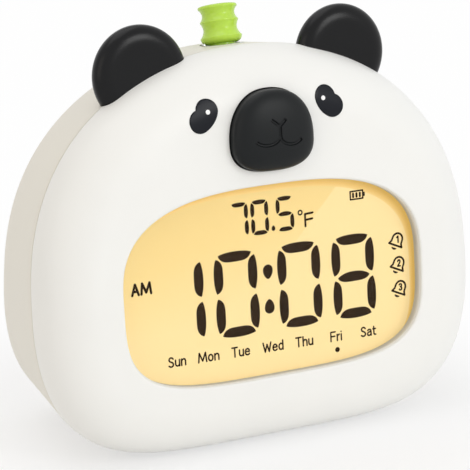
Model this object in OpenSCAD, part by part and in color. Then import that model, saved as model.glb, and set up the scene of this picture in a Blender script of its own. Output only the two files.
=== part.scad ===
// Bedside alarm clock for children with a night light, shaped as a panda's head.
// Millimetres. X runs to the viewer's right, Y away from the viewer and Z up.
// The origin lies on the resting plane, under the middle of the housing.
// Two moulded shells meet at a parting plane that is parallel to the face. Most
// pieces are placed on the face plane (x, and v up the face) or on the back plane.

/* [Housing] */
// Width of the housing at its widest
body_w = 130; // [120:1:145]
// Height of the housing without its feet
body_h = 105.5; // [101:0.5:118]
// Depth of the housing along its base
base_d = 62; // [59:0.5:74]
// Height of the widest place
widest_z = 40; // [36:0.5:44]
// Lean of the face back from upright, in degrees
face_lean = 6.6; // [4:0.2:9]
// Lean of the back forward from upright, in degrees
back_lean = 6.8; // [4:0.2:8]
// Depth of the front shell, from the face to the parting plane
front_d = 13.8; // [13:0.2:16]
// Rounding of the front edge
front_edge_r = 13.6; // [9:0.2:14]
// Rounding of the back edge
back_edge_r = 9; // [6:0.5:11]
// Narrowing of each side between the parting plane and the back
side_taper = 6.5; // [3:0.5:9]
// Drop of the top between the parting plane and the back
top_drop = 4.2; // [2:0.2:7]
// Wall thickness of both shells
wall = 2.2; // [1.8:0.1:2.6]
// Height of the lip that enters the rear shell
lip_h = 2; // [1.2:0.2:3]
// Width and depth of the groove along the parting line
reveal = 0.35; // [0.2:0.05:0.6]

/* [Display] */
// Width of the display opening
opening_w = 89.3; // [80:0.5:92]
// Height of the opening above its widest line
opening_up = 25.6; // [22:0.2:27]
// Height of the opening below its widest line
opening_down = 26.2; // [23:0.2:27]
// Place of the opening's widest line up the face
opening_v = 46.1; // [45:0.1:47]
// Depth of the recess in front of the window
recess_d = 3.3; // [2.8:0.1:4.5]
// Thickness of the clear window
window_t = 1.5; // [1:0.1:2]
// Margin of the window round the opening
window_margin = 1.6; // [1.2:0.1:1.8]
// Width of the liquid crystal panel
lcd_w = 94; // [93:0.5:96]
// Thickness of the liquid crystal panel
lcd_t = 2.4; // [1.8:0.1:3]
// Thickness of the diffuser
diffuser_t = 2; // [1.5:0.1:3]

/* [Face] */
// Half the width of the nose key
nose_half_w = 11.8; // [10:0.1:12]
// Height of the nose above its widest line
nose_up = 13.15; // [11:0.05:13.4]
// Height of the nose below its widest line
nose_down = 8.25; // [6.5:0.05:8.4]
// Place of the nose's widest line up the face
nose_v = 83.9; // [83.5:0.1:86]
// How far the nose stands out of the face
nose_proud = 5.6; // [4:0.1:7]
// Travel of the nose key
nose_travel = 1; // [0.6:0.1:1.2]
// Half the distance between the eyes
eye_x = 18.6; // [17.6:0.1:20]
// Place of the eyes up the face
eye_v = 91.85; // [90:0.05:94]
// Radius of each of an eye's two lobes
eye_r = 3.1; // [2.4:0.1:3.4]
// Half the distance between the ears
ear_x = 30; // [28:0.2:33]
// Place of the ears up the face
ear_v = 102.5; // [101:0.1:104]
// Radius of an ear
ear_r = 13.25; // [12:0.1:14]
// Thickness of an ear
ear_t = 6.4; // [5.6:0.1:7]

/* [Stalk button] */
// Distance of the button from the front, at the foot of the housing's top
stalk_y = 36.4; // [35:0.2:40]
// Lean of the button back from upright, in degrees
stalk_lean = 17.5; // [12:0.5:20]
// Radius of the button's lowest bead
bead_r = 5.65; // [5.5:0.05:6.2]
// Radius of its middle bead
bead_mid_r = 5.2; // [5:0.05:5.6]
// Radius of its top bead
bead_top_r = 5.35; // [5:0.05:5.6]
// How far the two waists are drawn in between the beads
waist_sink = 0.85; // [0.4:0.05:1.1]
// Height of the button above the top of the housing
stalk_h = 10.4; // [8:0.2:12]
// Travel of the button
stalk_travel = 2; // [1.2:0.1:2.2]

/* [Back] */
// Radius of the five round keys
key_r = 4.15; // [3.6:0.05:4.4]
// Distance between neighbouring keys
key_pitch = 14; // [12.8:0.1:14.4]
// Place of the keys up the back
key_v = 70.5; // [69:0.1:72]
// How far a key stands out of the back
key_proud = 1.2; // [0.9:0.1:1.8]
// Travel of a key
key_travel = 0.8; // [0.5:0.1:1]
// Radius of the speaker
speaker_r = 14; // [12:0.2:15]
// Place of the speaker up the back
speaker_v = 45; // [43:0.5:46]
// Place of the power board up the back
power_v = 20; // [19:0.2:22]
// Travel of the power slide
slide_travel = 3; // [2:0.1:3.4]

/* [Feet and battery] */
// Radius of a rubber foot
foot_r = 5; // [4:0.1:6]
// How far the feet reach below the housing
foot_proud = 0.6; // [0.4:0.1:1.5]
// Radius of the battery cell
cell_r = 9.1; // [7:0.1:9.3]
// Length of the battery cell
cell_l = 65; // [50:0.5:66]

/* [Hidden] */

// Exponents of the housing's outline, across and up, above and below the widest line
top_nx = 2.07;
top_nz = 2.47;
low_nx = 4.8;
low_nz = 2.24;
// Exponents of the opening above and below its widest line, and those of the nose
opening_n_up = 2.76;
opening_n_down = 3.94;
nose_n_up = 2.25;
nose_n_down = 2.6;
ring_n = 64; // points round each section of the housing
round_n = 5; // steps along each rounded edge
opening_points = 72;
nose_points = 48;

fit = 0.2; // clearance of a piece in its seat
slip = 0.1; // radial clearance of a guide
touch = 0.05; // gap between a moving flange and its stop

face_k = tan(face_lean);
back_k = tan(back_lean);
edge_r = min(front_edge_r, front_d - reveal);
part_depth = front_d * cos(face_lean); // the parting plane, square to the face

white = "#f2f2ee";
warm_white = "#e9e8e0";
black = "#2b2d31";
board_green = "#2f6b45";
steel = "#b9bcc0";

function spow(v, n) = sign(v) * pow(abs(v), n);

// A closed outline with other heights and exponents above and below its widest line
function egg(half_w, up, down, nx_up, nz_up, nx_down, nz_down, count) =
    [for (i = [0:count - 1]) let (t = 360 * i / count, c = cos(t), s = sin(t))
        [half_w * spow(c, 2 / (s >= 0 ? nx_up : nx_down)),
            (s >= 0 ? up : down) * spow(s, 2 / (s >= 0 ? nz_up : nz_down))]];

function share(y) = min(1, max(0, (y - front_d) / (base_d - front_d)));
function slope(y) = face_k - (face_k + back_k) * share(y);

// One section of the housing, at depth y along the base and drawn in by inset
function section(y, inset) =
    let (f = share(y), k = slope(y))
    [for (p = egg(body_w / 2 - side_taper * f - inset, body_h - top_drop * f - widest_z - inset,
            widest_z - inset, top_nx, top_nz, low_nx, low_nz, ring_n))
        let (z = widest_z + p.y) [p.x, y + k * z, z]];

function front_round(inset) = [for (i = [0:round_n]) let (t = 90 * i / round_n, r = edge_r - inset)
    [inset + r * (1 - cos(t)), inset + r * (1 - sin(t))]];
function back_round(inset) = [for (i = [round_n:-1:0]) let (t = 90 * i / round_n, r = back_edge_r - inset)
    [base_d - inset - r * (1 - cos(t)), inset + r * (1 - sin(t))]];
function reversed(list) = [for (i = [len(list) - 1:-1:0]) list[i]];

lip_inset = wall / 2;
front_path = concat(front_round(0),
    [[front_d - reveal, 0], [front_d, reveal], [front_d, lip_inset], [front_d + lip_h, lip_inset],
        [front_d + lip_h, wall]],
    reversed(front_round(wall)));
rear_path = concat(reversed(back_round(wall)),
    [[front_d + lip_h + fit, wall], [front_d + lip_h + fit, lip_inset - fit / 2],
        [front_d, lip_inset - fit / 2], [front_d, reveal], [front_d + reveal, 0]],
    back_round(0));
core_path = concat(front_round(wall / 2), back_round(wall / 2));

// The middle of the housing's depth, which is moved to Y = 0
front_reach = min([for (p = front_path) for (q = section(p[0], p[1])) q.y]);
rear_reach = max([for (p = rear_path) for (q = section(p[0], p[1])) q.y]);
mid_y = (front_reach + rear_reach) / 2;

// The face stack: depths square to the face
window_depth = recess_d;
window_back = window_depth + window_t;
pocket_back = window_back + fit;
lcd_depth = pocket_back + fit;
lcd_v0 = opening_v - opening_down - 1.2;
lcd_v1 = opening_v + opening_up + 1.2;
diffuser_depth = lcd_depth + lcd_t + touch;
led_t = 0.8;
led_pitch_x = 18;
led_pitch_v = 16;
pcb_t = 1.6;
light_gap = 1.3; // air between the diffuser and the lamps
led_depth = diffuser_depth + diffuser_t + light_gap;
light_board_depth = led_depth + led_t;
light_board_t = 1;
frame_wall = 1.6;
frame_back = light_board_depth + light_board_t;
frame_end = frame_back + 1.2;
pocket_wall = 1;
tab_depth = frame_end - 4.4; // where the frame's tabs rest on their posts
tab_t = 1.6;
tab_x = lcd_w / 2 + frame_wall + fit + 3.3;
tab_r = 2.9;
tab_rise = 16;
board_post_h = 3;
main_depth = frame_end + board_post_h;
main_half_w = 45;
main_inset_v = 2;
main_inset_low = 6.5; // the cell lies below the board
main_post_x = main_half_w - 4;
main_post_in = 4;
plug_pitch = 14;
plug_v = lcd_v0 + 12;
plug_w = 8;
plug_h = 5;
capacitor_x = 30;

// Round posts and their tapping screws
post_r = 2.4;
small_screw_r = 0.85;
small_head_r = 1.7;
small_head_h = 1.1;
case_screw_r = 1.25;
case_head_r = 2.4;
case_head_h = 1.8;
case_boss_r = 4.2;
case_post_r = 3.2;
case_grip = 8; // plastic between the head and the parting plane
case_bite = 7; // length of thread in the front shell
case_low_x = 44;
case_low_z = 10.5;
case_high_x = 33;
case_high_z = 82;
case_places = [[-case_low_x, case_low_z], [case_low_x, case_low_z],
    [-case_high_x, case_high_z], [case_high_x, case_high_z]];

// The nose key's inside
nose_flange = 1;
nose_flange_depth = wall + touch;
nose_flange_t = 1.2;
nose_side_h = 1.6;
nose_gap = 0.3;
nose_post_x = 6.5;
nose_post_r = 1.5;
nose_mid_v = nose_v + 2.4;
nose_plunger_r = 2.2;
nose_plunger_depth = 6.8;
dome_h = 2.5;
nose_board_depth = nose_plunger_depth + dome_h;
nose_board_t = 1.2;
nose_bracket_depth = nose_board_depth + nose_board_t;
nose_bracket_t = 1.6;
nose_bracket_down = 5;
nose_bracket_up = nose_post_r + 1.1;
nose_screw_x = nose_half_w + nose_flange + post_r + 1;
mouth_r = 0.45;
smile_r = 3.1;

// Eyes: inlays that follow the rounding of the face
eye_lobe = [1.05, -1.3]; // from an eye's centre to its lower lobe, on the right eye
eye_bulge = 0.35; // how far the inner side swells past a straight line
eye_shift = -0.4;
eye_steps = 12;
eye_sink = 0.9;
eye_proud = 0.12;
glint_r = 0.62;
glint_x = 17.1;
glint_shift = -0.65;
glint_up = 1;

// Ears
ear_depth = part_depth + 0.6;
ear_round = 3.4; // how far the rounded rim reaches in from the edge
ear_tilt = 24; // turn of an ear's foot, to follow the slope of the head
ear_foot = 8.4; // from the ear's centre to the end of its foot
ear_peg_x = 5;
ear_peg_down = 6.4;
ear_peg_r = 1.3;
ear_gap = 0.12;

// Stalk button, measured along its axis from the top of the housing
stalk_share = (stalk_y - front_d) / (base_d - front_d);
stalk_z = body_h - top_drop * stalk_share;
stalk_foot_y = stalk_y + slope(stalk_y) * stalk_z;
bead_low_h = 1.6; // height of the lowest bead's widest line
bead_top_h = stalk_h - 0.4;
bead_mid_h = bead_low_h + (bead_top_h - bead_low_h) * 0.52;
bead_steps = 8; // points along each waist
well_r = bead_r + 0.45;
stem_r = 4.6;
well_depth = stalk_travel + 3; // top of the guide
guide_r = well_r + 1.8;
guide_lug_r = 2.5;
guide_t = 1.6;
guide_tube_h = 4.4;
stem_end = well_depth + guide_t + guide_tube_h + 2;
clip_t = 0.8;
clip_depth = well_depth + guide_t + guide_tube_h + touch;
switch_depth = stem_end + stalk_travel; // where the switch's stem begins
switch_stem_h = 1.5;
switch_stem_r = 1.75;
switch_stem_travel = 0.25;
switch_body_h = 3.4;
leg_t = 2; // legs that carry the switch's bracket
leg_y = guide_r - leg_t / 2 - 0.2;
switch_board_w = 7;
leg_depth = switch_depth + switch_stem_h + switch_body_h;
guide_screw_r = well_r + 1.9;

// Back stack: depths square to the back
key_flange_depth = wall + touch;
key_flange_t = 1;
key_stem_depth = 4.6;
key_dome_h = 1.4;
mat_t = 1;
mat_depth = key_stem_depth + key_dome_h;
key_board_depth = mat_depth + mat_t;
key_count = 5;
key_names = ["mode", "set", "up", "down", "alarm"];
key_hole_gap = 0.25;
key_flange = 1.25;
mat_half_w = key_pitch * 2 + key_r + 1;
mat_half_h = key_r + 1.85;
key_board_half_w = mat_half_w + 5.8;
key_board_half_h = mat_half_h + 0.5;
key_post_x = mat_half_w + 3;
power_board_depth = 7.2;
power_half_w = 34;
power_half_h = 7;
power_post_x = 30.5;
usb_x = -19;
usb_w = 8.94;
usb_h = 3.26;
usb_shell_t = 0.35;
usb_recess = 0.5;
slide_x = 17;
slide_body = [10.5, 5, 4.2];
knob_w = 2.2;
knob_h = 2;
knob_proud = 0.9;
slide_slot_w = knob_w + slide_travel + 0.6;
reset_x = 0;
reset_hole_r = 0.8;
grille_rings = 3;
grille_step = 3.6;
grille_hole_r = 0.95;
speaker_rim_t = 1.6;
speaker_depth = wall + fit;
speaker_post_x = speaker_r + 3.8;
vent_x = 31;
vent_slots = 4;
vent_step = 2.6;
vent_h = 9;
vent_w = 1.3;

// Feet and battery
foot_x = 33;
foot_front_y = 23;
foot_from_back = 11;
foot_back_y = base_d - foot_from_back;
foot_seat = 1.6; // height of a foot's seat above the lowest place of the shell
foot_pad = 2; // thickness of the shell over a foot
cell_from_back = 27;
cell_y = base_d - cell_from_back;
holder_t = 1.5;
holder_z = 5.4;
cell_z = holder_z + holder_t + cell_r + fit;
holder_half_l = cell_l / 2 + 2.6;
holder_post_x = 18;
holder_post_y = cell_y + cell_r + fit + holder_t + 3;
holder_rest_y = cell_y - 8; // posts that the holder's front half rests on

module in_frame() translate([0, -mid_y, foot_proud]) children();

// A plate square to the face between two depths, from a shape in (x, v)
module slab(d0, d1) rotate([90 - face_lean, 0, 0]) translate([0, 0, -d1])
    linear_extrude(d1 - d0) children();

// The same square to the back, with x as it is on the housing
module back_slab(d0, d1) translate([0, base_d, 0]) rotate([0, 0, 180]) rotate([90 - back_lean, 0, 0])
    translate([0, 0, -d1]) linear_extrude(d1 - d0) mirror([1, 0]) children();

module on_face(x, v, depth) rotate([90 - face_lean, 0, 0]) translate([x, v, -depth]) children();

module on_back(x, v, depth) translate([0, base_d, 0]) rotate([0, 0, 180])
    rotate([90 - back_lean, 0, 0]) translate([-x, v, -depth]) children();

// Upright on the stalk's axis, with zero at the top of the housing
module on_stalk() translate([0, stalk_foot_y, stalk_z]) rotate([-stalk_lean, 0, 0]) children();

// A closed skin through a row of equal rings, each a list of points
module skin(rings) {
    n = len(rings[0]);
    last = (len(rings) - 1) * n;
    polyhedron(
        points = [for (ring = rings) for (p = ring) p],
        faces = concat(
            [[for (j = [n - 1:-1:0]) j]],
            [for (i = [0:len(rings) - 2]) for (j = [0:n - 1]) let (a = i * n + j, b = i * n + (j + 1) % n)
                each [[a, b, b + n], [a, b + n, a + n]]],
            [[for (j = [0:n - 1]) last + j]]),
        convexity = 8);
}

module housing_skin(path) skin([for (p = path) section(p[0], p[1])]);

// Posts and ribs that end inside the housing's wall, whatever its form there
module inside_wall() intersection() {
    union() children();
    housing_skin(core_path);
}

module opening_shape(grow) translate([0, opening_v])
    polygon(egg(opening_w / 2 + grow, opening_up + grow, opening_down + grow,
        opening_n_up, opening_n_up, opening_n_down, opening_n_down, opening_points));

module nose_shape(grow) translate([0, nose_v])
    polygon(egg(nose_half_w + grow, nose_up + grow, nose_down + grow,
        nose_n_up, nose_n_up, nose_n_down, nose_n_down, nose_points));

// Two overlapping discs, bridged on the inner side and notched on the outer
// Two lobes, notched between them on the outer side and bridged by a wide arc on the inner one
function eye_outline(grow) =
    let (reach = norm(eye_lobe), turn = atan2(eye_lobe.y, eye_lobe.x), r = eye_r + grow, open = acos(reach / r),
        high = (reach * reach - eye_bulge * eye_bulge) / (2 * eye_bulge), side = atan2(high, reach))
    [for (arc = [[reach, 0, r, -side, 180 - open], [-reach, 0, r, open, 180 + side],
            [0, high, r + norm([reach, high]), 180 + side, 360 - side]],
        i = [1:eye_steps])
        let (a = arc[3] + (arc[4] - arc[3]) * i / eye_steps, u = arc[0] + arc[2] * cos(a),
            w = arc[1] + arc[2] * sin(a))
        [u * cos(turn) - w * sin(turn), u * sin(turn) + w * cos(turn)]];

// side is -1 for the left eye
module eye_shape(side, grow) translate([side * eye_x + eye_shift, eye_v]) mirror([side < 0 ? 1 : 0, 0])
    polygon(eye_outline(grow));

// The housing's front form, drawn in by inset, or grown where inset is negative
module face_skin(inset) skin([for (p = concat(front_round(inset), [[front_d + 4, inset]]))
    section(p[0], p[1])]);

// An ear's full disc, with a rounded rim, grown by a clearance
module ear_disc(grow) {
    half_t = ear_t / 2 + grow;
    radius = ear_r + grow;
    rim = [for (i = [0:2 * round_n]) let (t = 90 - 180 * i / (2 * round_n))
        [radius - ear_round * (1 - pow(cos(t), 0.9)), half_t * spow(sin(t), 0.9)]];
    rotate_extrude($fn = 72) polygon(concat([[0, half_t]], rim, [[0, -half_t]]));
}

module on_ear(side) on_face(side * ear_x, ear_v, ear_depth) rotate([0, 0, -side * ear_tilt]) children();

// The two screws of the stalk's guide, from its underside
module on_guide_screws() on_stalk() for (x = [-guide_screw_r, guide_screw_r])
    translate([x, 0, -well_depth - guide_t]) children();

module guide_plan(h) {
    cylinder(r = guide_r, h = h, $fn = 48);
    for (x = [-guide_screw_r, guide_screw_r]) translate([x, 0, 0]) cylinder(r = guide_lug_r, h = h, $fn = 32);
}

module ear_peg_places() for (x = [-ear_peg_x, ear_peg_x]) translate([x, -ear_peg_down, 0]) children();

module post(d0, d1, x, v, r) slab(d0, d1) translate([x, v]) circle(r, $fn = 32);

module display_posts() for (x = [-tab_x, tab_x], v = [opening_v - tab_rise, opening_v + tab_rise])
    translate([x, v]) children();

module main_posts() for (x = [-main_post_x, main_post_x], v = [lcd_v0 + main_inset_low + main_post_in,
    lcd_v1 - main_inset_v - main_post_in]) translate([x, v]) children();

module nose_screw_places() for (x = [-nose_screw_x, nose_screw_x]) translate([x, nose_mid_v]) children();

// Along Y at a place on the housing; its length is counted from the parting plane
module case_axis(place) translate([place.x, front_d + face_k * place.y, place.y]) rotate([-90, 0, 0])
    children();

module front_shell() color(white) in_frame() difference() {
    union() {
        housing_skin(front_path);
        inside_wall() {
            slab(wall / 2, pocket_back) opening_shape(window_margin + fit + pocket_wall);
            slab(wall / 2, tab_depth) display_posts() circle(post_r, $fn = 32);
            slab(wall / 2, nose_bracket_depth) nose_screw_places() circle(post_r, $fn = 32);
            for (place = case_places) case_axis(place) translate([0, 0, -front_d])
                cylinder(r = case_post_r, h = front_d, $fn = 32);
            for (side = [-1, 1]) on_ear(side) ear_peg_places() translate([0, 0, -ear_t / 2])
                cylinder(r = ear_peg_r, h = ear_t / 2 + ear_depth, $fn = 24);
        }
    }
    slab(-1, recess_d + 1) opening_shape(0);
    slab(window_depth, pocket_back + 1) opening_shape(window_margin + fit);
    slab(-1, wall + 2) nose_shape(nose_gap);
    slab(wall, wall + 2) nose_shape(nose_flange + 0.4);
    difference() {
        slab(-1, 6) for (side = [-1, 1]) eye_shape(side, touch);
        face_skin(eye_sink);
    }
    for (side = [-1, 1]) on_ear(side) difference() {
        ear_disc(ear_gap);
        ear_peg_places() translate([0, 0, -ear_t]) cylinder(r = ear_peg_r, h = 2 * ear_t, $fn = 24);
    }
    slab(tab_depth - 6, tab_depth + 1) display_posts() circle(small_screw_r, $fn = 24);
    slab(nose_bracket_depth - 5, nose_bracket_depth + 1) nose_screw_places() circle(small_screw_r, $fn = 24);
    for (place = case_places) case_axis(place) translate([0, 0, -case_bite - 1])
        cylinder(r = case_screw_r, h = case_bite + 2, $fn = 24);
}

module rear_shell() color(warm_white) in_frame() difference() {
    union() {
        housing_skin(rear_path);
        inside_wall() {
            for (place = case_places) case_axis(place) translate([0, 0, touch])
                cylinder(r = case_boss_r, h = base_d, $fn = 32);
            on_stalk() translate([0, 0, -well_depth]) guide_plan(well_depth);
            for (x = [-foot_x, foot_x], y = [foot_front_y, foot_back_y]) translate([x, y, 0])
                cylinder(r = foot_r + 1.4, h = foot_seat + foot_pad, $fn = 32);
            for (x = [-holder_post_x, holder_post_x], y = [holder_rest_y, holder_post_y]) translate([x, y, 0])
                cylinder(r = post_r + 0.4, h = holder_z, $fn = 32);
            back_slab(wall / 2, key_board_depth) for (x = [-key_post_x, key_post_x])
                translate([x, key_v]) circle(post_r, $fn = 32);
            back_slab(wall / 2, power_board_depth) for (x = [-power_post_x, power_post_x])
                translate([x, power_v]) circle(post_r, $fn = 32);
            back_slab(wall / 2, speaker_depth + speaker_rim_t) for (x = [-speaker_post_x, speaker_post_x])
                translate([x, speaker_v]) circle(post_r, $fn = 32);
            back_slab(wall / 2, speaker_depth + 1) difference() {
                translate([0, speaker_v]) circle(speaker_r + 1.2, $fn = 48);
                translate([0, speaker_v]) circle(speaker_r + fit, $fn = 48);
            }
        }
    }
    on_stalk() translate([0, 0, -well_depth - 1]) cylinder(r = well_r, h = well_depth + 6, $fn = 48);
    on_guide_screws() translate([0, 0, guide_t - 1]) cylinder(r = small_screw_r, h = 4, $fn = 24);
    for (side = [-1, 1]) on_ear(side) ear_disc(ear_gap);
    for (place = case_places) case_axis(place) {
        translate([0, 0, -1]) cylinder(r = case_screw_r + 0.15, h = base_d, $fn = 24);
        translate([0, 0, case_grip]) cylinder(r = case_head_r + 0.35, h = base_d, $fn = 32);
    }
    for (x = [-foot_x, foot_x], y = [foot_front_y, foot_back_y]) translate([x, y, -1])
        cylinder(r = foot_r + touch, h = foot_seat + 1, $fn = 32);
    for (x = [-holder_post_x, holder_post_x]) translate([x, holder_post_y, holder_z - 2.2])
        cylinder(r = small_screw_r, h = 4, $fn = 24);
    back_slab(-1, wall + 1) {
        for (i = [0:key_count - 1]) translate([(i - 2) * key_pitch, key_v])
            circle(key_r + key_hole_gap, $fn = 40);
        translate([0, speaker_v]) circle(grille_hole_r, $fn = 20);
        for (ring = [1:grille_rings], i = [0:6 * ring - 1]) translate([0, speaker_v])
            rotate(60 * i / ring) translate([ring * grille_step, 0]) circle(grille_hole_r, $fn = 20);
        translate([usb_x, power_v]) rounded_bar(usb_w + 0.6, usb_h + 0.6);
        translate([slide_x, power_v]) square([slide_slot_w, knob_h + 0.6], center = true);
        translate([reset_x, power_v]) circle(reset_hole_r, $fn = 20);
        for (i = [0:vent_slots - 1]) translate([vent_x + i * vent_step, speaker_v])
            rounded_bar(vent_w, vent_h);
    }
    back_slab(key_board_depth - 4, key_board_depth + 1) for (x = [-key_post_x, key_post_x])
        translate([x, key_v]) circle(small_screw_r, $fn = 24);
    back_slab(power_board_depth - 4, power_board_depth + 1) for (x = [-power_post_x, power_post_x])
        translate([x, power_v]) circle(small_screw_r, $fn = 24);
    back_slab(speaker_depth + speaker_rim_t - 3, speaker_depth + speaker_rim_t + 1)
        for (x = [-speaker_post_x, speaker_post_x]) translate([x, speaker_v]) circle(small_screw_r, $fn = 24);
}

// A bar with fully rounded ends, along its longer side
module rounded_bar(w, h) {
    r = min(w, h) / 2;
    dx = w / 2 - r;
    dy = h / 2 - r;
    for (s = [-1, 1]) translate([s * dx, s * dy]) circle(r, $fn = 32);
    square([w > h ? 2 * dx : w, h > w ? 2 * dy : h], center = true);
}

module display_window() color("#fff4d8", 0.5) in_frame()
    slab(window_depth, window_back) opening_shape(window_margin);

module lcd_area(grow) translate([-lcd_w / 2 - grow, lcd_v0 - grow])
    square([lcd_w + 2 * grow, lcd_v1 - lcd_v0 + 2 * grow]);

module lcd_panel() color("#f7d98c") in_frame() slab(lcd_depth, lcd_depth + lcd_t) lcd_area(0);

module diffuser() color("#ffe9b0") in_frame() slab(diffuser_depth, diffuser_depth + diffuser_t) lcd_area(0);

module display_frame() color(white) in_frame() difference() {
    union() {
        slab(lcd_depth - touch, frame_end) lcd_area(frame_wall + fit);
        slab(tab_depth, tab_depth + tab_t) for (v = [opening_v - tab_rise, opening_v + tab_rise]) {
            translate([0, v]) square([2 * tab_x, 2 * tab_r], center = true);
            for (x = [-tab_x, tab_x]) translate([x, v]) circle(tab_r, $fn = 32);
        }
        slab(frame_end - 0.5, main_depth) main_posts() circle(post_r, $fn = 32);
    }
    slab(lcd_depth - 1, diffuser_depth + diffuser_t) lcd_area(fit);
    slab(diffuser_depth + diffuser_t - 0.5, frame_back) lcd_area(-1);
    slab(frame_end - 0.8, main_depth + 1) main_posts() circle(small_screw_r, $fn = 24);
    slab(tab_depth - 1, tab_depth + tab_t + 1) display_posts() circle(small_screw_r + 0.2, $fn = 24);
}

module night_light_leds() color("#fff0b8") in_frame() slab(led_depth, light_board_depth)
    for (x = [-2:2], y = [-1:1]) translate([x * led_pitch_x, (lcd_v0 + lcd_v1) / 2 + y * led_pitch_v])
        square([3.5, 2.8], center = true);

module night_light_board() color(white) in_frame()
    slab(light_board_depth, frame_back - touch) lcd_area(-1 - fit);

module main_board_shape() translate([-main_half_w, lcd_v0 + main_inset_low])
    square([2 * main_half_w, lcd_v1 - lcd_v0 - main_inset_v - main_inset_low]);

module main_board() color(board_green) in_frame() slab(main_depth, main_depth + pcb_t) difference() {
    main_board_shape();
    main_posts() circle(small_screw_r + 0.2, $fn = 24);
}

module controller_chip() color(black) in_frame() {
    slab(main_depth + pcb_t, main_depth + pcb_t + 1.4) translate([0, opening_v + 8])
        square([14, 14], center = true);
    for (side = [-1, 1], i = [0:7]) slab(main_depth + pcb_t, main_depth + pcb_t + 0.5)
        translate([side * 7.7, opening_v + 8 + (i - 3.5) * 1.6]) square([1.4, 0.6], center = true);
}

// Plugs for the leads, smoothing capacitors and the clock crystal
module board_parts() color("#e8e2cc") in_frame() {
    back = main_depth + pcb_t;
    for (i = [-2, -1, 1, 2]) slab(back, back + 5) translate([i * plug_pitch, plug_v]) difference() {
        square([plug_w, plug_h], center = true);
        translate([0, 0.8]) square([plug_w - 1.6, plug_h - 2.8], center = true);
    }
    for (x = [-capacitor_x, -capacitor_x + 7]) slab(back, back + 6.5) translate([x, opening_v + 6])
        circle(2.5, $fn = 32);
    slab(back, back + 2) translate([22, opening_v + 8]) rounded_bar(3, 8);
}

module ear(side) color(black) in_frame() on_ear(side) difference() {
    ear_disc(0);
    translate([-ear_r, -ear_r - ear_foot, -ear_t]) cube([2 * ear_r, ear_r, 2 * ear_t]);
    ear_peg_places() translate([0, 0, -ear_t]) cylinder(r = ear_peg_r + slip, h = 2 * ear_t, $fn = 24);
}

module left_ear() ear(-1);
module right_ear() ear(1);

module eye(side) color(black) in_frame() difference() {
    intersection() {
        slab(-1, 6) eye_shape(side, 0);
        face_skin(-eye_proud);
    }
    face_skin(eye_sink - touch);
}
module left_eye() eye(-1);
module right_eye() eye(1);

module eye_highlights() color("white") in_frame() difference() {
    intersection() {
        slab(-1, 3) for (side = [-1, 1]) translate([side * glint_x + glint_shift, eye_v + glint_up])
            circle(glint_r, $fn = 24);
        face_skin(-eye_proud - 0.1);
    }
    face_skin(-eye_proud);
}

// A rounded pillow with a straight side, cored from behind, on a stop flange
module nose_key() color(black) in_frame() difference() {
    union() {
        rotate([90 - face_lean, 0, 0]) translate([0, nose_v, 0]) skin(nose_rings());
        slab(nose_flange_depth, nose_flange_depth + nose_flange_t) nose_shape(nose_flange);
        slab(0, nose_plunger_depth) translate([0, nose_mid_v]) circle(nose_plunger_r, $fn = 32);
        for (x = [-nose_post_x, nose_post_x])
            post(0, nose_bracket_depth + nose_bracket_t + 0.5, x, nose_mid_v, nose_post_r);
    }
    slab(-nose_side_h + 0.6, nose_flange_depth + nose_flange_t + 1) difference() {
        nose_shape(-1.8);
        translate([0, nose_mid_v]) circle(nose_plunger_r, $fn = 32);
        for (x = [-nose_post_x, nose_post_x]) translate([x, nose_mid_v]) circle(nose_post_r, $fn = 32);
    }
    mouth_grooves();
}

// Rings from the back of the key to its crown; each is a smaller copy of the outline
function nose_rings() = [for (step = concat([[-nose_flange_depth - nose_flange_t, 1]],
        [for (i = [0:round_n + 1]) let (t = 82 * i / (round_n + 1))
            [nose_side_h + (nose_proud - nose_side_h) * pow(sin(t), 0.85), pow(cos(t), 0.85)]]))
    reversed([for (p = egg(nose_half_w, nose_up, nose_down, nose_n_up, nose_n_up,
            nose_n_down, nose_n_down, nose_points)) [p.x * step[1], p.y * step[1], step[0]]])];

// The small mouth: a fork over a stem, and a smile that hangs from it
module mouth_grooves() on_face(0, nose_mid_v, -nose_proud) {
    fork = [0, 1.4];
    for (s = [-1, 1]) hull_groove(fork, [s * 2.2, 3.2]);
    hull_groove(fork, [0, -1]);
    for (s = [-1, 1]) translate([s * smile_r, -0.9, -0.15]) rotate([0, 0, 180 + (s > 0 ? 0 : 25)])
        rotate_extrude(angle = 155, $fn = 48) translate([smile_r, 0]) circle(mouth_r, $fn = 16);
}

module hull_groove(a, b) translate([a.x, a.y, 0]) rotate([0, 0, atan2(b.y - a.y, b.x - a.x)])
    rotate([0, 90, 0]) cylinder(r = mouth_r, h = norm(b - a), $fn = 16);

module nose_dome() color("#d9d4c8") in_frame() difference() {
    union() {
        on_face(0, nose_mid_v, nose_board_depth) cylinder(r1 = 4, r2 = 2.6, h = dome_h, $fn = 32);
        slab(nose_board_depth - 0.6, nose_board_depth) translate([0, nose_mid_v]) circle(4.8, $fn = 32);
    }
    on_face(0, nose_mid_v, nose_board_depth + touch) cylinder(r1 = 3.2, r2 = 1.9, h = dome_h - 1, $fn = 32);
}

module nose_board_shape() difference() {
    translate([0, nose_mid_v]) square([2 * (nose_post_x + 3.2), 12], center = true);
    for (x = [-nose_post_x, nose_post_x]) translate([x, nose_mid_v]) circle(nose_post_r + 0.4, $fn = 32);
}

module nose_board() color(board_green) in_frame()
    slab(nose_board_depth, nose_bracket_depth) nose_board_shape();

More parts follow.
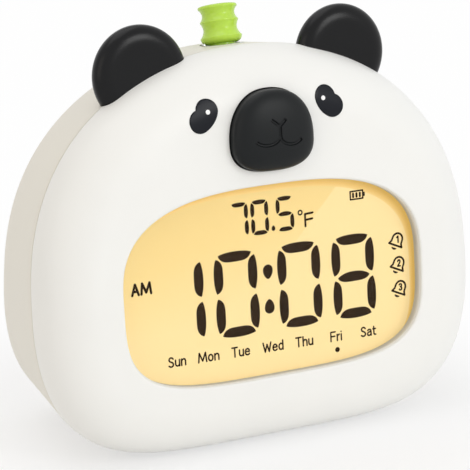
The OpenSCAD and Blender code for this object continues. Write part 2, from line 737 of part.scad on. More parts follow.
module nose_bracket() color(white) in_frame() slab(nose_bracket_depth, nose_bracket_depth + nose_bracket_t)
    difference() {
        union() {
            translate([-nose_screw_x, nose_mid_v - nose_bracket_down])
                square([2 * nose_screw_x, nose_bracket_down + nose_bracket_up]);
            nose_screw_places() circle(nose_bracket_down - 1, $fn = 32);
        }
        nose_screw_places() circle(small_screw_r + 0.2, $fn = 24);
        for (x = [-nose_post_x, nose_post_x]) translate([x, nose_mid_v])
            circle(nose_post_r + slip, $fn = 32);
        // A notch clears the board of the stalk's switch
        translate([-switch_board_w / 2 - 0.6, nose_mid_v - nose_post_r])
            square([switch_board_w + 1.2, nose_bracket_up + nose_post_r + 1]);
    }

// Three beads with hollow waists between them, on a plain stem
module stalk_button() color("#a9cf3a") in_frame() on_stalk() rotate_extrude($fn = 64)
    polygon(concat([[0, -stem_end], [stem_r - 0.4, -stem_end], [stem_r - 0.4, -clip_depth - clip_t - slip],
            [stem_r - 0.9, -clip_depth - clip_t - slip], [stem_r - 0.9, -clip_depth - touch],
            [stem_r, -clip_depth - touch], [stem_r, 0]],
        [[bead_r - 0.7, 0.05], [bead_r - 0.4, 0.3], [bead_r - 0.15, bead_low_h - 0.6]],
        bead(bead_r, bead_low_h), waist([bead_r, bead_low_h], [bead_mid_r, bead_mid_h]),
        bead(bead_mid_r, bead_mid_h), waist([bead_mid_r, bead_mid_h], [bead_top_r, bead_top_h]),
        bead(bead_top_r, bead_top_h),
        [[bead_top_r - 0.9, stalk_h], [bead_top_r - 2.2, stalk_h + 0.12], [0, stalk_h + 0.3]]));

// The narrow rounded edge of a bead
function bead(r, h) = [[r - 0.12, h - 0.26], [r, h - 0.1], [r, h + 0.1], [r - 0.12, h + 0.26]];

// The hollow from one bead's [radius, height] to the next one's
function waist(low, high) = [for (i = [1:bead_steps - 1])
    let (u = i / bead_steps, h = low.y + 0.26 + (high.y - low.y - 0.52) * u)
    [low.x + (high.x - low.x) * u - 0.12 - (waist_sink - 0.12) * pow(sin(180 * u), 0.85), h]];

// A coil of round wire, swept along its helix
module stalk_spring() color(steel) in_frame() on_stalk() {
    wire_r = 0.3;
    coil_r = (stem_r + well_r) / 2;
    turns = 3.5;
    per_turn = 20;
    low = -well_depth + wire_r + touch;
    high = -wire_r - touch;
    steps = turns * per_turn;
    skin([for (i = [steps:-1:0]) let (a = 360 * i / per_turn, z = low + (high - low) * i / steps)
        [for (j = [0:5]) let (b = 60 * j) [(coil_r + wire_r * cos(b)) * cos(a),
            (coil_r + wire_r * cos(b)) * sin(a), z + wire_r * sin(b)]]]);
}

module stalk_clip() color(steel) in_frame() on_stalk() translate([0, 0, -clip_depth - clip_t])
    difference() {
        cylinder(r = stem_r + 0.8, h = clip_t - touch, $fn = 32);
        translate([0, 0, -1]) cylinder(r = stem_r - 0.9 + touch, h = clip_t + 2, $fn = 32);
        translate([0, -1.6, -1]) cube([stem_r + 3, 3.2, clip_t + 2]);
    }

module stalk_guide() color(warm_white) in_frame() difference() {
    on_stalk() union() {
        translate([0, 0, -well_depth - guide_t]) guide_plan(guide_t);
        translate([0, 0, -well_depth - guide_t - guide_tube_h]) cylinder(r = stem_r + 1.6,
            h = guide_tube_h + 0.5, $fn = 48);
        // Two legs carry the bracket of the switch
        for (s = [-1, 1]) translate([-3, s * leg_y - leg_t / 2, -leg_depth])
            cube([6, leg_t, leg_depth - well_depth - guide_t + 0.5]);
    }
    on_stalk() translate([0, 0, -switch_depth]) cylinder(r = stem_r + slip, h = switch_depth, $fn = 48);
    on_guide_screws() translate([0, 0, -1]) cylinder(r = small_screw_r + 0.2, h = guide_t + 2, $fn = 24);
}

module stalk_switch() color(black) in_frame() on_stalk()
    translate([0, 0, -leg_depth]) difference() {
        union() {
            translate([-3, -3, 0]) cube([6, 6, switch_body_h]);
            for (x = [-2.2, 2.2], y = [-2.2, 2.2]) translate([x, y, switch_body_h - 0.1])
                cylinder(r = 0.4, h = 0.3, $fn = 16);
        }
        translate([0, 0, switch_body_h - 2 * switch_stem_travel])
            cylinder(r = switch_stem_r + slip, h = 1, $fn = 32);
    }

module stalk_switch_stem() color("#c9c6bb") in_frame() on_stalk()
    translate([0, 0, -switch_depth - switch_stem_h]) cylinder(r = switch_stem_r, h = switch_stem_h - touch, $fn = 32);

module stalk_switch_bracket() color(board_green) in_frame() on_stalk()
    translate([-switch_board_w / 2, -leg_y - leg_t / 2, -leg_depth - pcb_t])
        cube([switch_board_w, 2 * leg_y + leg_t, pcb_t]);

module key(index) color("#d8d8d2") in_frame() {
    x = (index - 2) * key_pitch;
    translate_key = [x, key_v];
    back_slab(-key_proud + 0.4, key_flange_depth) translate(translate_key) circle(key_r, $fn = 40);
    on_back(x, key_v, -key_proud + 0.4) cylinder(r1 = key_r, r2 = key_r - 0.5, h = 0.4, $fn = 40);
    back_slab(key_flange_depth, key_flange_depth + key_flange_t) translate(translate_key)
        circle(key_r + key_flange, $fn = 40);
    back_slab(key_flange_depth, key_stem_depth) translate(translate_key) circle(2, $fn = 32);
}
module mode_key() key(0);
module set_key() key(1);
module up_key() key(2);
module down_key() key(3);
module alarm_key() key(4);

module keypad_mat() color("#9a9a96") in_frame() {
    back_slab(mat_depth, key_board_depth) translate([0, key_v])
        square([2 * mat_half_w, 2 * mat_half_h], center = true);
    for (i = [0:key_count - 1]) on_back((i - 2) * key_pitch, key_v, mat_depth)
        cylinder(r1 = 3.4, r2 = 2.2, h = key_dome_h, $fn = 32);
}

module key_board() color(board_green) in_frame() back_slab(key_board_depth, key_board_depth + pcb_t)
    difference() {
        translate([0, key_v]) square([2 * key_board_half_w, 2 * key_board_half_h], center = true);
        for (x = [-key_post_x, key_post_x]) translate([x, key_v]) circle(small_screw_r + 0.2, $fn = 24);
    }

module power_board() color(board_green) in_frame() back_slab(power_board_depth, power_board_depth + pcb_t)
    difference() {
        translate([0, power_v]) square([2 * power_half_w, 2 * power_half_h], center = true);
        for (x = [-power_post_x, power_post_x]) translate([x, power_v]) circle(small_screw_r + 0.2, $fn = 24);
    }

module usb_socket() color(steel) in_frame() {
    back_slab(usb_recess, power_board_depth) translate([usb_x, power_v]) difference() {
        rounded_bar(usb_w, usb_h);
        rounded_bar(usb_w - 2 * usb_shell_t, usb_h - 2 * usb_shell_t);
    }
    back_slab(power_board_depth - 1.4, power_board_depth) translate([usb_x, power_v])
        rounded_bar(usb_w, usb_h);
    back_slab(usb_recess + 0.9, power_board_depth) translate([usb_x, power_v])
        square([6.6, 0.7], center = true);
}

module slide_switch() color(steel) in_frame() difference() {
    back_slab(power_board_depth - slide_body.z, power_board_depth) translate([slide_x, power_v])
        square([slide_body.x, slide_body.y], center = true);
    back_slab(power_board_depth - slide_body.z - 1, power_board_depth - 1) translate([slide_x, power_v])
        square([slide_slot_w + 2, knob_h + 1], center = true);
}

module slide_knob() color(black) in_frame() {
    x = slide_x + slide_travel / 2;
    back_slab(-knob_proud, power_board_depth - 1 - touch) translate([x, power_v])
        square([knob_w, knob_h], center = true);
    back_slab(power_board_depth - slide_body.z + 0.4, power_board_depth - 1 - touch)
        translate([x, power_v]) square([knob_w + 1.6, knob_h + 0.7], center = true);
}

module reset_switch() color(black) in_frame() back_slab(3.4, power_board_depth)
    translate([reset_x, power_v]) square([4.2, 4.2], center = true);

module speaker_basket() color(steel) in_frame() on_back(0, speaker_v, speaker_depth + 5.4) difference() {
    union() {
        translate([0, 0, 5.4 - speaker_rim_t]) cylinder(r = speaker_r, h = speaker_rim_t, $fn = 48);
        cylinder(r1 = speaker_r * 0.6, r2 = speaker_r - 1, h = 5.4 - speaker_rim_t + touch, $fn = 48);
    }
    translate([0, 0, 1]) cylinder(r1 = speaker_r * 0.52, r2 = speaker_r - 2.2, h = 4.5, $fn = 48);
}

module speaker_cone() color(black) in_frame() on_back(0, speaker_v, speaker_depth + 3.4) difference() {
    union() {
        cylinder(r1 = speaker_r * 0.45, r2 = speaker_r - 4, h = 2.2, $fn = 48);
        translate([0, 0, 2.2 - touch]) cylinder(r = speaker_r - 3.9, h = 0.6, $fn = 48);
    }
    translate([0, 0, 0.6]) cylinder(r1 = speaker_r * 0.4, r2 = speaker_r - 4.3, h = 2.4, $fn = 48);
}

module speaker_magnet() color("#55585c") in_frame()
    on_back(0, speaker_v, speaker_depth + 5.4 + 4.2) cylinder(r = speaker_r * 0.55, h = 4.2, $fn = 48);

module speaker_clamps() color(steel) in_frame() {
    depth = speaker_depth + speaker_rim_t;
    for (s = [-1, 1]) back_slab(depth, depth + 1) difference() {
        union() {
            translate([s * speaker_post_x, speaker_v]) circle(2.8, $fn = 32);
            translate([s * (speaker_post_x - 2.2), speaker_v]) square([4.4, 5], center = true);
        }
        translate([s * speaker_post_x, speaker_v]) circle(small_screw_r + 0.2, $fn = 24);
    }
}

module temperature_sensor() color("#33475c") in_frame() {
    x = vent_x + vent_step * (vent_slots - 1) / 2;
    back_slab(wall + 3, wall + 4) translate([x, speaker_v]) square([7, 10], center = true);
    on_back(x, speaker_v, wall + 3) cylinder(r = 1.2, h = 1.4, $fn = 24);
    back_slab(wall, wall + 3.2) for (v = [-4.2, 4.2]) translate([x, speaker_v + v])
        square([2.4, 1.2], center = true);
}

module along_x(half_l) translate([-half_l, 0, 0]) rotate([90, 0, 90]) linear_extrude(2 * half_l) children();

module battery_cell() color("#3f7fb5") in_frame() {
    translate([-cell_l / 2, cell_y, cell_z]) rotate([0, 90, 0]) cylinder(r = cell_r, h = cell_l - 2, $fn = 64);
    translate([cell_l / 2 - 2, cell_y, cell_z]) rotate([0, 90, 0])
        cylinder(r = cell_r * 0.42, h = 2 - touch, $fn = 32);
}

// A tray with a round bed, low sides and two end walls
module battery_holder() color(black) in_frame() difference() {
    union() {
        along_x(holder_half_l) translate([cell_y - cell_r - holder_t - fit, holder_z])
            square([2 * (cell_r + holder_t + fit), cell_r + holder_t]);
        for (s = [-1, 1]) translate([s * (holder_half_l - holder_t / 2), cell_y, holder_z + cell_r])
            cube([holder_t, 1.6 * cell_r, 2 * cell_r], center = true);
        for (x = [-holder_post_x, holder_post_x]) translate([x - 3.2, cell_y + cell_r, holder_z])
            cube([6.4, holder_post_y + 3.2 - cell_y - cell_r, holder_t]);
    }
    along_x(holder_half_l - holder_t) translate([cell_y, cell_z]) circle(cell_r + fit, $fn = 64);
    for (x = [-holder_post_x, holder_post_x]) translate([x, holder_post_y, holder_z - 1])
        cylinder(r = small_screw_r + 0.2, h = holder_t + 2, $fn = 24);
}

module battery_contacts() color(steel) in_frame() {
    plate = 0.5;
    reach = holder_half_l - holder_t - plate;
    half_w = cell_r * 0.55;
    for (s = [-1, 1]) translate([s > 0 ? reach : -reach - plate, cell_y - half_w, cell_z - half_w])
        cube([plate, 2 * half_w, 2 * half_w]);
}

module foot(x, y) color("#4a4c50") in_frame() translate([x, y, -foot_proud])
    cylinder(r = foot_r, h = foot_proud + foot_seat - touch, $fn = 48);
module foot_front_left() foot(-foot_x, foot_front_y);
module foot_front_right() foot(foot_x, foot_front_y);
module foot_rear_left() foot(-foot_x, foot_back_y);
module foot_rear_right() foot(foot_x, foot_back_y);

// A pan-head screw that points down its axis, with a cross recess in the head
module screw(shank_r, length, head_r, head_h) difference() {
    union() {
        translate([0, 0, -length]) cylinder(r = shank_r, h = length + 0.1, $fn = 24);
        cylinder(r1 = head_r, r2 = head_r * 0.75, h = head_h, $fn = 32);
    }
    for (turn = [0, 90]) rotate([0, 0, turn]) translate([-head_r * 0.55, -head_r * 0.11, head_h * 0.5])
        cube([head_r * 1.1, head_r * 0.22, head_h]);
}

module small_screw(length) screw(small_screw_r - touch, length, small_head_r, small_head_h);

module case_screws() color(steel) in_frame() for (place = case_places) case_axis(place)
    translate([0, 0, case_grip]) screw(case_screw_r - touch, case_grip + case_bite, case_head_r, case_head_h);

// Screws that are driven from behind, square to the face
module from_behind(depth) rotate([90 - face_lean, 0, 0]) translate([0, 0, -depth]) mirror([0, 0, 1]) children();

module display_screws() color(steel) in_frame() {
    from_behind(tab_depth + tab_t) display_posts() small_screw(6);
    from_behind(main_depth + pcb_t) main_posts() small_screw(4.5);
}

module bracket_screws() color(steel) in_frame()
    from_behind(nose_bracket_depth + nose_bracket_t) nose_screw_places() small_screw(5.5);

module board_screws() color(steel) in_frame() {
    for (x = [-key_post_x, key_post_x]) on_back(x, key_v, key_board_depth + pcb_t)
        mirror([0, 0, 1]) small_screw(4.5);
    for (x = [-power_post_x, power_post_x]) on_back(x, power_v, power_board_depth + pcb_t)
        mirror([0, 0, 1]) small_screw(4.5);
    for (x = [-speaker_post_x, speaker_post_x]) on_back(x, speaker_v, speaker_depth + speaker_rim_t + 1)
        mirror([0, 0, 1]) small_screw(3.5);
}

module guide_screws() color(steel) in_frame() on_guide_screws() mirror([0, 0, 1]) small_screw(4);

module battery_screws() color(steel) in_frame() for (x = [-holder_post_x, holder_post_x])
    translate([x, holder_post_y, holder_z + holder_t]) small_screw(3);

front_shell();
rear_shell();
display_window();
lcd_panel();
diffuser();
display_frame();
night_light_leds();
night_light_board();
main_board();
controller_chip();
board_parts();
left_ear();
right_ear();
left_eye();
right_eye();
eye_highlights();
nose_key();
nose_dome();
nose_board();
nose_bracket();
stalk_button();
stalk_spring();
stalk_clip();
stalk_guide();
stalk_switch();
stalk_switch_stem();
stalk_switch_bracket();
mode_key();
set_key();
up_key();
down_key();
alarm_key();
keypad_mat();
key_board();
power_board();
usb_socket();
slide_switch();
slide_knob();
reset_switch();
speaker_basket();
speaker_cone();
speaker_magnet();
speaker_clamps();
temperature_sensor();
battery_cell();
battery_holder();
battery_contacts();
foot_front_left();
foot_front_right();
foot_rear_left();
foot_rear_right();
case_screws();
display_screws();
board_screws();
bracket_screws();
guide_screws();
battery_screws();
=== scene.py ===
import math

import bpy
import bmesh
import numpy as np
from mathutils import Matrix, Vector


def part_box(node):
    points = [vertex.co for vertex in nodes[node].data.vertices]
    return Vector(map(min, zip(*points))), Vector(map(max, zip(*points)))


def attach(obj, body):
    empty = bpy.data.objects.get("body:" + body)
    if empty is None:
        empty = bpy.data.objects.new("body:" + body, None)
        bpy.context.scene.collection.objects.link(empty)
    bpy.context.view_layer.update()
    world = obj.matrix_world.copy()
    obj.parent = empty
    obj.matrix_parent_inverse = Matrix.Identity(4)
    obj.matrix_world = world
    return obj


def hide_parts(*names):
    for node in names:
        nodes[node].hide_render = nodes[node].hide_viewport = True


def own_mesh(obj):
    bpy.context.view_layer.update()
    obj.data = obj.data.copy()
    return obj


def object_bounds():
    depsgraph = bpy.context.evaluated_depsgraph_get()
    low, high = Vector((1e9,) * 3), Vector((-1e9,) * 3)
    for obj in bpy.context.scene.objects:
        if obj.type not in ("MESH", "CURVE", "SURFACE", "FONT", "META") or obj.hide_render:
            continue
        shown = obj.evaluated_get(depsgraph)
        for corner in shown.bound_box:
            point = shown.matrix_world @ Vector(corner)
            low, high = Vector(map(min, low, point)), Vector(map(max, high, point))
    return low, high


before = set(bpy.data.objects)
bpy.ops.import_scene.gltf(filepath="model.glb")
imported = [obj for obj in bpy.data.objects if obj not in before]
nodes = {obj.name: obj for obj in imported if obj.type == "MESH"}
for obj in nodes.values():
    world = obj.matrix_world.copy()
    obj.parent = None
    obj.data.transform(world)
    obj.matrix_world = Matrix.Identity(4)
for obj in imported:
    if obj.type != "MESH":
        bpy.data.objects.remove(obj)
cad_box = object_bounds()
mm = 0.001


# ---- Studio ----
# A white sweep under a soft lamp from the right front, a strip near the floor and one
# overhead. A weaker, warmer lamp and a warm wall on the left tint the shell's left side.
def aim(thing, place, target):
    thing.location = place
    thing.rotation_euler = (target - place).to_track_quat("-Z", "Y").to_euler()
    bpy.context.scene.collection.objects.link(thing)


# The camera stands to the left of the front, a little above it, on a long lens
view_azimuth = math.radians(27.7)
view_height = math.radians(16.8)
view_distance = 644.5 * mm
view_target = Vector((-2.375, -6.24, 53.76)) * mm
sensor_width = 36.0
picture_width = 470
focal_pixels = 2381.0
sight = Vector((
    math.sin(view_azimuth) * math.cos(view_height),
    math.cos(view_azimuth) * math.cos(view_height),
    -math.sin(view_height),
))
camera_data = bpy.data.cameras.new("studio_camera")
camera_data.sensor_width = sensor_width
camera_data.lens = focal_pixels * sensor_width / picture_width
camera = bpy.data.objects.new("studio_camera", camera_data)
aim(camera, view_target - sight * view_distance, view_target)
bpy.context.scene.camera = camera
bpy.context.scene.view_settings.view_transform = "Standard"

# Every lamp faces the middle of the object, at this place in metres
lit_point = Vector((0, 0, 0.05))


def softbox(name, place, size, watts, colour):
    """A rectangular lamp, placed and sized in metres, that faces the object."""
    lamp = bpy.data.lights.new(name, "AREA")
    lamp.shape = "RECTANGLE"
    lamp.size, lamp.size_y = size
    lamp.energy = watts
    lamp.color = colour
    box = bpy.data.objects.new(name, lamp)
    aim(box, Vector(place), lit_point)
    return box


softbox("key_lamp", (0.43, -1.03, 0.6), (0.44, 0.44), 2.9, (1.0, 1.0, 0.99))
softbox("fill_lamp", (-1.15, -0.55, 0.5), (0.8, 0.8), 1.4, (1.0, 0.91, 0.79))
softbox("top_lamp", (-0.15, 0.1, 1.15), (1.0, 0.8), 2.7, (1.0, 1.0, 1.0))
# The strip lights the lower half, and isn't mirrored in the glossy black pieces
low_strip = softbox("low_lamp", (0.6, -1.0, 0.14), (0.8, 0.22), 1.15, (1.0, 1.0, 1.0))
low_strip.visible_glossy = False


def feed(tree, node, inputs):
    """Gives each input of a node a value, or a link from the output given for it."""
    for socket, value in inputs.items():
        if isinstance(value, bpy.types.NodeSocket):
            tree.links.new(value, node.inputs[socket])
        else:
            node.inputs[socket].default_value = value


def add_node(tree, kind, inputs=None, **settings):
    node = tree.nodes.new(kind)
    for setting, value in settings.items():
        setattr(node, setting, value)
    feed(tree, node, inputs or {})
    return node


def new_material(name, inputs):
    """A material, its node tree and its surface shader, which gets the inputs."""
    material = bpy.data.materials.new(name)
    material.use_nodes = True
    tree = material.node_tree
    surface = tree.nodes["Principled BSDF"]
    feed(tree, surface, inputs)
    return material, tree, surface


def white_to_the_camera(tree, lit, seen, portion=None):
    """Mixes seen into lit, whole or by a portion, for the camera, glass and gloss alone."""
    path = add_node(tree, "ShaderNodeLightPath")
    rays = path.outputs["Is Camera Ray"]
    for kind in ("Is Transmission Ray", "Is Glossy Ray"):
        either = add_node(tree, "ShaderNodeMath", {0: rays, 1: path.outputs[kind]}, operation="MAXIMUM")
        rays = either.outputs[0]
    if portion:
        part = add_node(tree, "ShaderNodeMath", {0: rays, 1: portion}, operation="MULTIPLY")
        rays = part.outputs[0]
    return add_node(tree, "ShaderNodeMixShader", {"Fac": rays, 1: lit, 2: seen}).outputs[0]


world = bpy.data.worlds.new("studio")
bpy.context.scene.world = world
world.use_nodes = True
sky = world.node_tree
sky.nodes.clear()
outward = add_node(sky, "ShaderNodeTexCoord")
leftward = add_node(sky, "ShaderNodeVectorMath", {0: outward.outputs["Generated"], 1: (-1.0, 0.0, 0.0)},
                    operation="DOT_PRODUCT")
wall_side = add_node(sky, "ShaderNodeMapRange", {
    "Value": leftward.outputs["Value"], "From Min": 0.1, "From Max": 0.9})
wall_tint = add_node(sky, "ShaderNodeMix", {
    "Factor": wall_side.outputs["Result"], "A": (1.0, 1.0, 1.0, 1), "B": (0.98, 0.90, 0.80, 1),
}, data_type="RGBA")
room_light = add_node(sky, "ShaderNodeBackground", {"Color": wall_tint.outputs["Result"], "Strength": 0.65})
white_wall = add_node(sky, "ShaderNodeBackground", {"Color": (1.0, 1.0, 1.0, 1.0), "Strength": 1.0})
add_node(sky, "ShaderNodeOutputWorld", {
    0: white_to_the_camera(sky, room_light.outputs[0], white_wall.outputs[0])})

floor_reach = 6.0
floor_mesh = bpy.data.meshes.new("floor")
floor_mesh.from_pydata(
    [(x * floor_reach, y * floor_reach, 0) for x, y in ((-1, -1), (1, -1), (1, 1), (-1, 1))],
    [],
    [(0, 1, 2, 3)],
)
floor = bpy.data.objects.new("floor", floor_mesh)
bpy.context.scene.collection.objects.link(floor)
paper, sheet, sheet_surface = new_material("white_paper", {
    "Base Color": (0.93, 0.93, 0.93, 1), "Roughness": 0.7, "Specular IOR Level": 0.1})
glow = add_node(sheet, "ShaderNodeEmission")
floor_place = add_node(sheet, "ShaderNodeTexCoord")
from_object = add_node(sheet, "ShaderNodeVectorMath", {0: floor_place.outputs["Object"]}, operation="LENGTH")
# The floor keeps part of the object's shadow close to it, and is almost plain white further away
fading = add_node(sheet, "ShaderNodeMapRange", {
    "Value": from_object.outputs["Value"],
    "From Min": 0.068, "From Max": 0.112, "To Min": 0.6, "To Max": 0.97})
feed(sheet, sheet.nodes["Material Output"], {"Surface": white_to_the_camera(
    sheet, sheet_surface.outputs[0], glow.outputs[0], fading.outputs["Result"])})
floor_mesh.materials.append(paper)

# ---- Housing: its form and its moulded plastic ----
# Two injection-moulded shells meet at a plane that is parallel to the face. Every
# section is an egg of two superellipses; the face leans back and the back leans forward.
body_w = 130.0
body_h = 105.5
base_d = 62.0
widest_z = 40.0
face_lean = math.radians(6.6)
back_lean = math.radians(6.8)
front_d = 13.8
front_edge_r = 13.45
back_edge_r = 9.0
side_taper = 6.5
top_drop = 4.2
wall = 2.2
lip_h = 2.0
reveal = 0.35
groove_half = 0.15
groove_sink = 0.5
groove_lead = 0.04
groove_start = 0.05
groove_mouth = 0.16
foot_proud = 0.6
ring_points = 288


def signed_power(value, power):
    """A power that keeps the sign of its value."""
    return np.sign(value) * np.abs(value) ** power


def egg(half_w, up, down, upper, lower, angles):
    """A closed outline; upper and lower are its exponents across and up."""
    c, s = np.cos(angles), np.sin(angles)
    across = np.where(s >= 0, upper[0], lower[0])
    along = np.where(s >= 0, upper[1], lower[1])
    return np.column_stack([
        half_w * signed_power(c, 2 / across),
        np.where(s >= 0, up, down) * signed_power(s, 2 / along),
    ])


def even_angles(half_w, up, down, upper, lower, count):
    """The angles at which an egg's points lie the same distance apart."""
    fine = np.linspace(0, 2 * math.pi, 40001)
    line = egg(half_w, up, down, upper, lower, fine)
    run = np.concatenate([[0], np.cumsum(np.hypot(*np.diff(line, axis=0).T))])
    return np.interp(np.linspace(0, run[-1], count, endpoint=False), run, fine)


head_upper = (2.07, 2.47)
head_lower = (4.8, 2.24)
head_angles = even_angles(body_w / 2, body_h - widest_z, widest_z, head_upper, head_lower, ring_points)


def share(depth):
    """How far a depth lies from the parting plane towards the back, from 0 to 1."""
    return min(1.0, max(0.0, (depth - front_d) / (base_d - front_d)))


def slope(depth):
    """How far the section at a depth leans back for each millimetre of height."""
    return math.tan(face_lean) - (math.tan(face_lean) + math.tan(back_lean)) * share(depth)


def section(depth, inset):
    """One section of the housing, at a depth along its base and drawn in by inset."""
    back_share = share(depth)
    line = egg(
        body_w / 2 - side_taper * back_share - inset, body_h - top_drop * back_share - widest_z - inset,
        widest_z - inset, head_upper, head_lower, head_angles,
    )
    z = widest_z + line[:, 1]
    return np.column_stack([line[:, 0], depth + slope(depth) * z, z])


def rounding(radius, low, steps):
    """Pairs of depth and inset along a rounded edge; the least of each is low."""
    return [
        (low + radius * (1 - math.cos(a)), low + radius * (1 - math.sin(a)))
        for a in np.radians(np.linspace(0, 90, steps))
    ]


# The display panel is a plain block, so its front says where the housing lies in depth
panel_depth = 5.2
panel_low_v = 18.7
panel_y = panel_depth * math.cos(face_lean) + panel_low_v * math.sin(face_lean)
middle_y = panel_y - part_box("lcd_panel")[0].y / mm


def in_frame(points):
    """Housing coordinates in millimetres, as frame coordinates in metres."""
    return (np.asarray(points, float) + (0, -middle_y, foot_proud)) * mm


home = Matrix.Scale(mm, 4) @ Matrix.Translation((0, -middle_y, foot_proud))
on_face = home @ Matrix.Rotation(math.pi / 2 - face_lean, 4, "X")
on_back = (
    home @ Matrix.Translation((0, base_d, 0)) @ Matrix.Rotation(math.pi, 4, "Z")
    @ Matrix.Rotation(math.pi / 2 - back_lean, 4, "X")
)


def placed(matrix, points):
    """Points moved by a matrix, all at once."""
    rows = np.array(matrix)
    return np.asarray(points, float) @ rows[:3, :3].T + rows[:3, 3]


def raised(matrix, line, height):
    """An outline at a height along the outward axis of a place."""
    return placed(matrix, np.column_stack([line, np.full(len(line), height)]))


def circle(radius, count):
    turn = np.linspace(0, 2 * math.pi, count, endpoint=False)
    return np.column_stack([radius * np.cos(turn), radius * np.sin(turn)])


def piece(name, points, faces, material=None, smooth=35.0):
    """A mesh object whose edges sharper than the angle stay sharp."""
    mesh = bpy.data.meshes.new(name)
    mesh.from_pydata([tuple(p) for p in points], [], [tuple(f) for f in faces])
    mesh.validate()
    outward_faces = bmesh.new()
    outward_faces.from_mesh(mesh)
    bmesh.ops.recalc_face_normals(outward_faces, faces=outward_faces.faces)
    outward_faces.to_mesh(mesh)
    outward_faces.free()
    thing = bpy.data.objects.new(name, mesh)
    bpy.context.scene.collection.objects.link(thing)
    if material:
        mesh.materials.append(material)
    soften(thing, smooth)
    return thing


def soften(thing, angle):
    """Shades a piece smooth, apart from edges sharper than the angle."""
    thing.data.polygons.foreach_set("use_smooth", [True] * len(thing.data.polygons))
    thing.data.set_sharp_from_angle(angle=math.radians(angle))


def skin(rings, closed=False):
    """Quads through a row of equal rings. Capped at both ends, or closed in a loop."""
    count = len(rings[0])
    points = np.concatenate(rings)
    rows = len(rings) if closed else len(rings) - 1
    faces = []
    for i in range(rows):
        a, b = i * count, (i + 1) % len(rings) * count
        for j in range(count):
            k = (j + 1) % count
            faces.append((a + j, b + j, b + k, a + k))
    if not closed:
        faces.append(tuple(range(count)))
        faces.append(tuple(range(len(points) - 1, len(points) - 1 - count, -1)))
    return points, faces


def cut(thing, tools, operation="DIFFERENCE"):
    """Cuts the tools out of the thing, removes them and leaves a plain mesh."""
    for tool in tools:
        knife = thing.modifiers.new("cut", "BOOLEAN")
        knife.operation = operation
        knife.solver = "EXACT"
        knife.object = tool
    bake_modifiers(thing)
    for tool in tools:
        bpy.data.objects.remove(tool)


def bake_modifiers(thing):
    """Leaves a plain mesh in place of a mesh with modifiers."""
    bpy.context.view_layer.update()
    evaluated = thing.evaluated_get(bpy.context.evaluated_depsgraph_get())
    mesh = bpy.data.meshes.new_from_object(evaluated)
    mesh.name = thing.name
    thing.modifiers.clear()
    thing.data = mesh


def plastic(name, colour, roughness, grain=0.02, grain_size=0.35, mottling=0.02, shine=0.5, metal=0.0):
    """A fine spark-eroded grain, and a colour and gloss that vary a little; metal makes it plated."""
    material, tree, surface = new_material(name, {
        "IOR": 1.49, "Specular IOR Level": shine, "Metallic": metal})
    place = add_node(tree, "ShaderNodeTexCoord").outputs["Object"]
    clouds = add_node(tree, "ShaderNodeTexNoise", {"Vector": place, "Scale": 45.0, "Detail": 3.0})
    tint = add_node(tree, "ShaderNodeMix", {
        "Factor": clouds.outputs["Fac"],
        "A": (*[c * (1 - mottling) for c in colour], 1),
        "B": (*[min(1.0, c * (1 + mottling)) for c in colour], 1),
    }, data_type="RGBA")
    gloss = add_node(tree, "ShaderNodeMapRange", {
        "Value": clouds.outputs["Fac"], "To Min": roughness * 0.9, "To Max": roughness * 1.1})
    sparks = add_node(tree, "ShaderNodeTexNoise", {
        "Vector": place, "Scale": 1 / (grain_size * mm), "Detail": 2.0})
    bump = add_node(tree, "ShaderNodeBump", {
        "Height": sparks.outputs["Fac"], "Strength": 1.0, "Distance": grain * mm})
    feed(tree, surface, {
        "Base Color": tint.outputs["Result"], "Roughness": gloss.outputs["Result"],
        "Normal": bump.outputs["Normal"]})
    return material


shell_white = plastic("moulded_white", (0.87, 0.872, 0.85), 0.42, 0.006)
# The rear half's darker, warmer copy of the white is painted shade for its shaded sides
rear_shaded_white = plastic("warm_white_painted_shade", (0.80, 0.775, 0.70), 0.45, 0.006)

# ---- Front shell ----
# The white front half, moulded in ABS: a flat face with a broad rounded edge, a
# recessed opening for the display, and a lip that enters the rear half.
opening_half_w = 44.65
opening_up = 25.6
opening_down = 26.2
opening_v = 46.1
opening_upper = (2.76, 2.76)
opening_lower = (3.94, 3.94)
recess_d = 3.3
window_t = 1.5
window_margin = 1.6
fit = 0.2
opening_edge_r = 0.7
opening_angles = even_angles(
    opening_half_w, opening_up, opening_down, opening_upper, opening_lower, ring_points
)


def opening_ring(grow, depth):
    """The display opening's outline, grown and set back from the face by a depth."""
    line = egg(
        opening_half_w + grow, opening_up + grow, opening_down + grow,
        opening_upper, opening_lower, opening_angles,
    )
    return raised(on_face, line + (0, opening_v), -depth)


window_back = recess_d + window_t
pocket_back = window_back + fit
pocket_grow = window_margin + fit
pad_grow = pocket_grow + 1.0
# Where a rounding meets a flat, one more ring this far inside keeps the flat's shading flat
support = 0.5
edge_rings = [opening_ring(grow, depth) for grow, depth in rounding(opening_edge_r, 0, 6)]
outer_rings = [
    in_frame(section(d, i))
    for d, i in [(0, front_edge_r + support)] + rounding(front_edge_r, 0, 20)
    + [(front_d - reveal, 0), (front_d - groove_half - groove_lead, groove_start),
       (front_d - groove_half, groove_mouth), (front_d - groove_half, groove_sink),
       (front_d, groove_sink + groove_start), (front_d, wall / 2),
       (front_d + lip_h, wall / 2), (front_d + lip_h, wall)]
    + rounding(front_edge_r - wall, wall, 10)[::-1]
]
box_reach = float(min(-cad_box[0][1], cad_box[1][1]))
box_ease = 1.3 * mm
box_excess = 0.09 * mm


def inside_box(ring):
    """Eases the last stretch to the front and the back, so that the rounded form stays in the CAD box."""
    ring = np.array(ring, float)
    past = np.clip(np.abs(ring[:, 1]) - (box_reach - box_ease), 0, None)
    ring[:, 1] -= np.sign(ring[:, 1]) * box_excess * (past / box_ease) ** 2
    return ring


